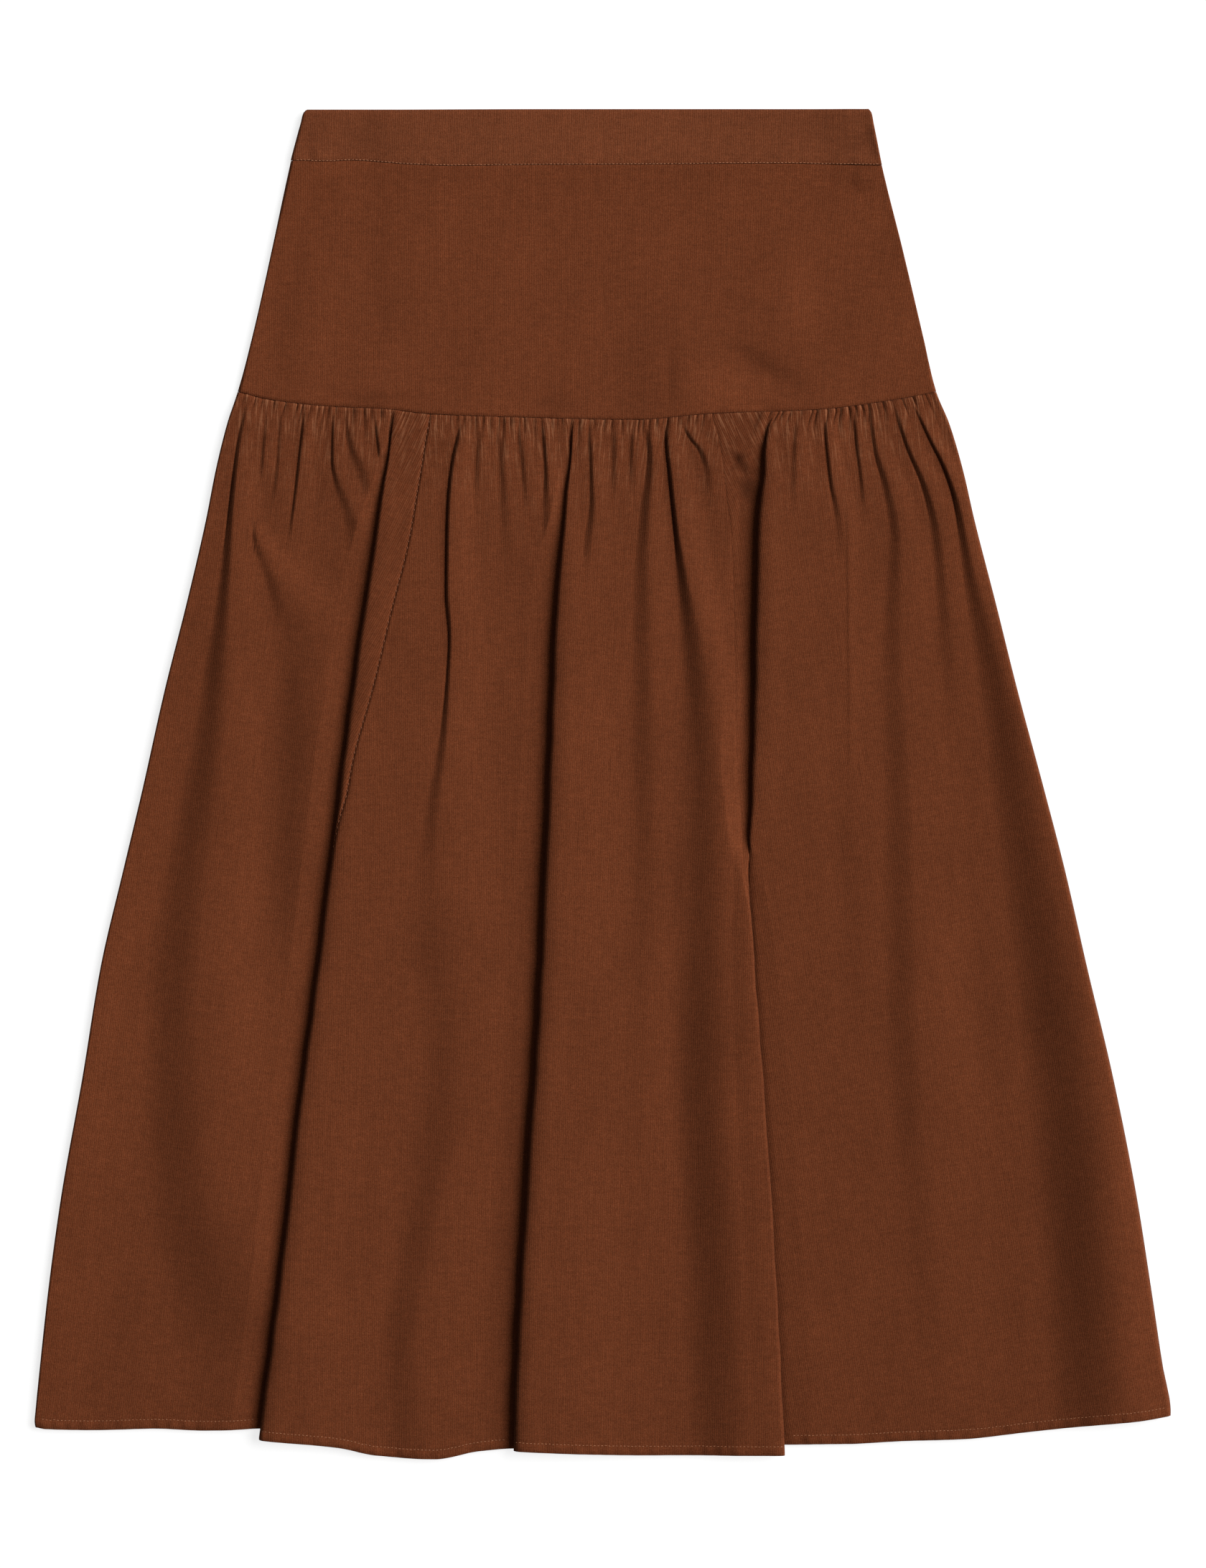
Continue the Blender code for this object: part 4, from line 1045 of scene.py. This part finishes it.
def stitches(name, lines, size, material, seed):
    """Stitches along lines of points, as one mesh; their size is pitch, length and width."""
    pitch, length, width = size
    shape, shape_faces = stitch_mesh()
    random = np.random.default_rng(seed)
    points, faces = [], []
    for line in lines:
        along = np.concatenate([[0], np.cumsum(np.linalg.norm(np.diff(line, axis=0), axis=1))])
        for at in np.arange(pitch / 2, along[-1], pitch):
            ends = (at - length / 2, at + length / 2)
            first, last = (np.array([np.interp(end, along, line[:, k]) for k in range(3)]) for end in ends)
            x = (last - first) / np.linalg.norm(last - first)
            y = np.cross([0, 0, 1], x)
            y /= np.linalg.norm(y)
            middle = (first + last) / 2 + y * random.normal(0, STITCH_STRAY)
            axes = np.array([
                x * length * random.uniform(0.85, 1.1),
                y * width * random.uniform(0.85, 1.15),
                np.cross(x, y) * width * STITCH_FLATNESS,
            ])
            faces += [[len(points) + corner for corner in face] for face in shape_faces]
            points += list(middle + shape @ axes)
    return add_piece(name, np.array(points), faces, material)


def hem_stitches(material):
    """The machine stitches along the front hem, where they show, for each gore."""
    under, over = 12 / SECTION, 42 / SECTION    # where a fold hides them
    shown = {
        "left": ((0.03, 1 + under),),
        "centre": ((1 + over, 3 + under), (3 + over, 5 + under)),
        "right": ((5 + over, 6.985),),
    }
    pieces = {}
    for seed, (side, ranges) in enumerate(shown.items(), HEM_SEED):
        lines = []
        for first, last in ranges:
            places = np.linspace(first, last, 500)
            share = 1 - HEM_STITCH / (column(FRONT_HEM, 1, places) - TIER_DROP)
            across, drop, z = front_tier(places, share)
            lines.append(grid_points(across, drop, z + SHEET / 2 + 0.10))
        pieces["tier_front_" + side] = stitches("hem_stitches_" + side, lines, HEM_STITCHES, material, seed)
    return pieces


def gore_seam_ticks(seam, material):
    """Little tucks of cloth that break the line of a gore seam into dashes."""
    drop = np.linspace(TIER_DROP + 3, 486, 700)
    across, at, z = front_tier(seam_place(seam, drop), (drop - TIER_DROP) / TIER_FALL)
    line = grid_points(across, at, z + SHEET / 2 - 0.42)
    return stitches("gore_seam_ticks", [line], SEAM_TUCKS, material, TUCK_SEED)


def waist_stitches(material):
    """The row of machine stitches just above the waistband seam."""
    x = np.linspace(-196.5, 176.0, 700)
    drop = column(WAIST_SEAM, 1, x) - 0.5
    line = grid_points(x, drop, band_height(x, drop) + BAND_SHEET / 2 - 0.12)
    return stitches("waist_stitches", [line], WAIST_STITCHES, material, WAIST_SEED)


def feed(node, inputs):
    """Sets a node's inputs, or links those that are given a socket."""
    for name, value in dict(inputs).items():
        if isinstance(value, bpy.types.NodeSocket):
            node.id_data.links.new(value, node.inputs[name])
        else:
            node.inputs[name].default_value = value


def tree_of(material):
    """A new node tree's Principled shader, and helpers that add linked nodes."""
    material.use_nodes = True
    nodes = material.node_tree.nodes

    def add(kind, inputs=(), **settings):
        node = nodes.new("ShaderNode" + kind)
        for name, value in settings.items():
            setattr(node, name, value)
        feed(node, inputs)
        return node

    def calc(operation, *values):
        return add("Math", enumerate(values), operation=operation).outputs[0]

    def mix(how, share, first, second):
        return add("Mix", {0: share, 6: first, 7: second}, data_type="RGBA", blend_type=how).outputs[2]

    def shaded(colour, shade):
        grey = add("CombineColor", {0: shade, 1: shade, 2: shade}).outputs[0]
        return mix("MULTIPLY", 1.0, colour, grey)

    return nodes["Principled BSDF"], add, calc, mix, shaded


def cord_material(name, painted_brightness, clarity):
    """Needlecord: fine ribs of cut pile with dark ground between, streaked nap and a soft sheen; painted
    shade on left-facing cloth, in patches and among the gathers, and painted highlights.
    """
    material = bpy.data.materials.new(name)
    shader, add, calc, mix, shaded = tree_of(material)
    ridge, valley = ((*np.multiply(painted_brightness, colour).tolist(), 1) for colour in (RIDGE_COLOUR, VALLEY_COLOUR))
    cloth = add("SeparateXYZ", {0: add("UVMap", uv_map="cord").outputs[0]})
    u, v = cloth.outputs[0], cloth.outputs[1]

    def noise(across, along, detail):
        """Noise whose grains are about the given millimetres across and along the ribs."""
        x, y = calc("MULTIPLY", u, UV_UNIT / across), calc("MULTIPLY", v, UV_UNIT / along)
        place = add("CombineXYZ", {0: x, 1: y}).outputs[0]
        inputs = {"Vector": place, "Scale": 1, "Detail": detail}
        return add("TexNoise", inputs, noise_dimensions="2D").outputs["Fac"]

    bias, gathered, nap_and_shading = (
        add("Attribute", attribute_name=layer).outputs["Fac"] for layer in ("bias", "gathered", "nap_and_shading")
    )
    wander = calc("MULTIPLY", noise(2.6, 26, 2), RIB_WANDER / UV_UNIT)
    turn = calc("MULTIPLY", calc("ADD", u, wander), 2 * np.pi * UV_UNIT / RIB)
    rib = calc("MULTIPLY_ADD", calc("COSINE", turn), 0.5, 0.5)
    tufts = noise(0.85, 0.8, 1)
    clear = calc("MULTIPLY_ADD", bias, BIAS_CLARITY, clarity)
    clear = calc("MULTIPLY", clear, calc("MULTIPLY_ADD", nap_and_shading, -NAP_AND_SHADING_BLUR, 1))
    ribbed = calc("MULTIPLY", calc("SUBTRACT", rib, 0.5), clear)
    pile = calc("ADD", ribbed, calc("MULTIPLY_ADD", tufts, TUFT_SWING, 0.5 - TUFT_SWING / 2))
    colour = mix("MIX", pile, valley, ridge)
    # painted highlights: light strokes among the gathers, fading below the seam
    gather_highlights = calc("MULTIPLY", calc("SUBTRACT", noise(1.25, 17, 1), GATHER_HIGHLIGHT_LEVEL), GATHER_HIGHLIGHT_CONTRAST)
    gather_highlights = calc("MULTIPLY", calc("MINIMUM", calc("MAXIMUM", gather_highlights, 0), 1), gathered)
    colour = mix("MIX", calc("MULTIPLY", gather_highlights, GATHER_HIGHLIGHT_SHARE), colour, (*GATHER_HIGHLIGHT_COLOUR, 1))
    # painted shade among the gathers
    shade = calc("MULTIPLY_ADD", gathered, -GATHER_PAINTED_SHADE, 1)
    # painted shade and painted light of the patches, partly brushed pile
    shade = calc("MULTIPLY", shade, calc("SUBTRACT", 1, nap_and_shading))
    for across, along, detail, swing in PILE_NOISES:
        factor = calc("MULTIPLY_ADD", noise(across, along, detail), swing, 1 - swing / 2)
        shade = calc("MULTIPLY", shade, factor)
    # painted shade on cloth that faces left, away from the key light
    facing = add("SeparateXYZ", {0: add("NewGeometry").outputs["Normal"]}).outputs[0]
    left_facing_darkening = calc("ADD", calc("MULTIPLY", calc("MINIMUM", facing, 0), LEFT_FACING_SHADE), 1)
    shade = calc("MULTIPLY", shade, calc("MAXIMUM", left_facing_darkening, LEFT_FACING_LIGHT_KEPT))
    height = calc("ADD", rib, calc("MULTIPLY", tufts, TUFT_RELIEF))
    feed(shader, {
        "Base Color": shaded(colour, shade),
        "Roughness": calc("MULTIPLY_ADD", pile, 0.10, 0.84),
        "Normal": add("Bump", {"Height": height, "Strength": 0.36, "Distance": RIB_RELIEF * MM}).outputs[0],
        "Specular IOR Level": 0.02,
        "Sheen Weight": 0.06,
        "Sheen Roughness": 0.45,
        "Sheen Tint": (1, 0.62, 0.42, 1),
    })
    return material


def plain_material(name, colour, roughness, grain_size, depth):
    """A matt material with a fine grain in object space."""
    material = bpy.data.materials.new(name)
    shader, add, calc, _, shaded = tree_of(material)
    place = add("TexCoord").outputs["Object"]
    noise = add("TexNoise", {"Vector": place, "Scale": 1 / (grain_size * MM), "Detail": 2}).outputs["Fac"]
    feed(shader, {
        "Base Color": shaded((*colour, 1), calc("MULTIPLY_ADD", noise, 0.5, 0.75)),
        "Normal": add("Bump", {"Height": noise, "Strength": 0.5, "Distance": depth * MM}).outputs[0],
        "Roughness": roughness,
        "Specular IOR Level": 0.2,
    })
    return material


def studio():
    """A white floor, one low soft key light from the right, an even fill and the camera overhead."""
    scene = bpy.context.scene
    scene.view_settings.view_transform = "Standard"
    bpy.ops.mesh.primitive_plane_add(size=FLOOR_SIZE, location=(0, 0, FLOOR_Z))
    floor = bpy.context.object
    floor.name = "floor"
    white = bpy.data.materials.new("floor_white")
    white.use_nodes = True
    feed(white.node_tree.nodes["Principled BSDF"], {
        "Base Color": (0.25, 0.25, 0.25, 1),
        "Roughness": 0.9,
        "Specular IOR Level": 0,
        "Emission Color": WHITE,
        "Emission Strength": FLOOR_GLOW,
    })
    floor.data.materials.append(white)

    sun = add_object("key", bpy.data.lights.new("key", "SUN"))
    sun.data.energy = KEY_STRENGTH
    sun.data.angle = KEY_WIDTH
    towards_key = Vector((np.cos(KEY_AZIMUTH), np.sin(KEY_AZIMUTH), np.tan(KEY_HEIGHT)))
    sun.rotation_euler = towards_key.to_track_quat("Z", "Y").to_euler()

    world = bpy.data.worlds.new("fill")
    world.use_nodes = True
    feed(world.node_tree.nodes["Background"], {"Color": WHITE, "Strength": FILL_STRENGTH})
    scene.world = world

    camera = add_object("camera", bpy.data.cameras.new("camera"))
    camera.data.sensor_width = 36
    camera.data.lens = 110
    away = PHOTO_HEIGHT * PIXEL * MM * camera.data.lens / camera.data.sensor_width
    camera.location = (*CAMERA_SHIFT, away)
    camera.rotation_euler = Euler((0, 0, 0))
    camera.data.clip_end = 50
    scene.camera = camera


def declare_sheets(sewn_on):
    """Looks up the pieces sewn on each piece of cloth in CUTS; nothing about its cut or how it is held is
    set.
    """
    for node, width, length, area, held, under in CUTS:
        with_pieces = sewn_on.get(node, [])
        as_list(with_pieces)


def main():
    studio()
    # lit copies of one cord, lighter and with clearer ribs towards the waist: painted light
    cord = cord_material("needlecord_tier_painted_dimmest", (1.03, 1.03, 1.03), 0.36)
    yoke_cord = cord_material("needlecord_yoke_painted_lighter", (1.12, 1.12, 1.12), 0.45)
    band_cord = cord_material("needlecord_band_painted_lightest", (1.20, 1.27, 1.34), 0.58)
    thread = plain_material("thread", THREAD_COLOUR, 0.6, 0.3, 0.05)
    waist_thread = plain_material("waist_thread", WAIST_THREAD_COLOUR, 0.6, 0.3, 0.05)
    tuck = plain_material("seam_tuck", TUCK_COLOUR, 0.85, 0.5, 0.1)
    tape = plain_material("zip_tape", TAPE_COLOUR, 0.8, 0.5, 0.1)
    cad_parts["side_zip"].data.materials.clear()
    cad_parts["side_zip"].data.materials.append(tape)
    sheets = {"waistband_front": waistband_front(band_cord), "yoke_front": yoke_front(yoke_cord)}
    for gore in GORES:
        sheets[gore.name] = tier_gore(gore, cord)
    for node, top, last, rows, wall, lean in BACKS:
        sheets[node] = back_sheet(node, top, last, rows, wall, lean, cord)
    sewn_on = {node: [hem] for node, hem in hem_stitches(thread).items()}
    sewn_on["waistband_front"] = [waist_stitches(waist_thread)]
    sewn_on["tier_front_centre"].append(gore_seam_ticks(LEFT_GORE_SEAM, tuck))
    declare_sheets(sewn_on)


main()
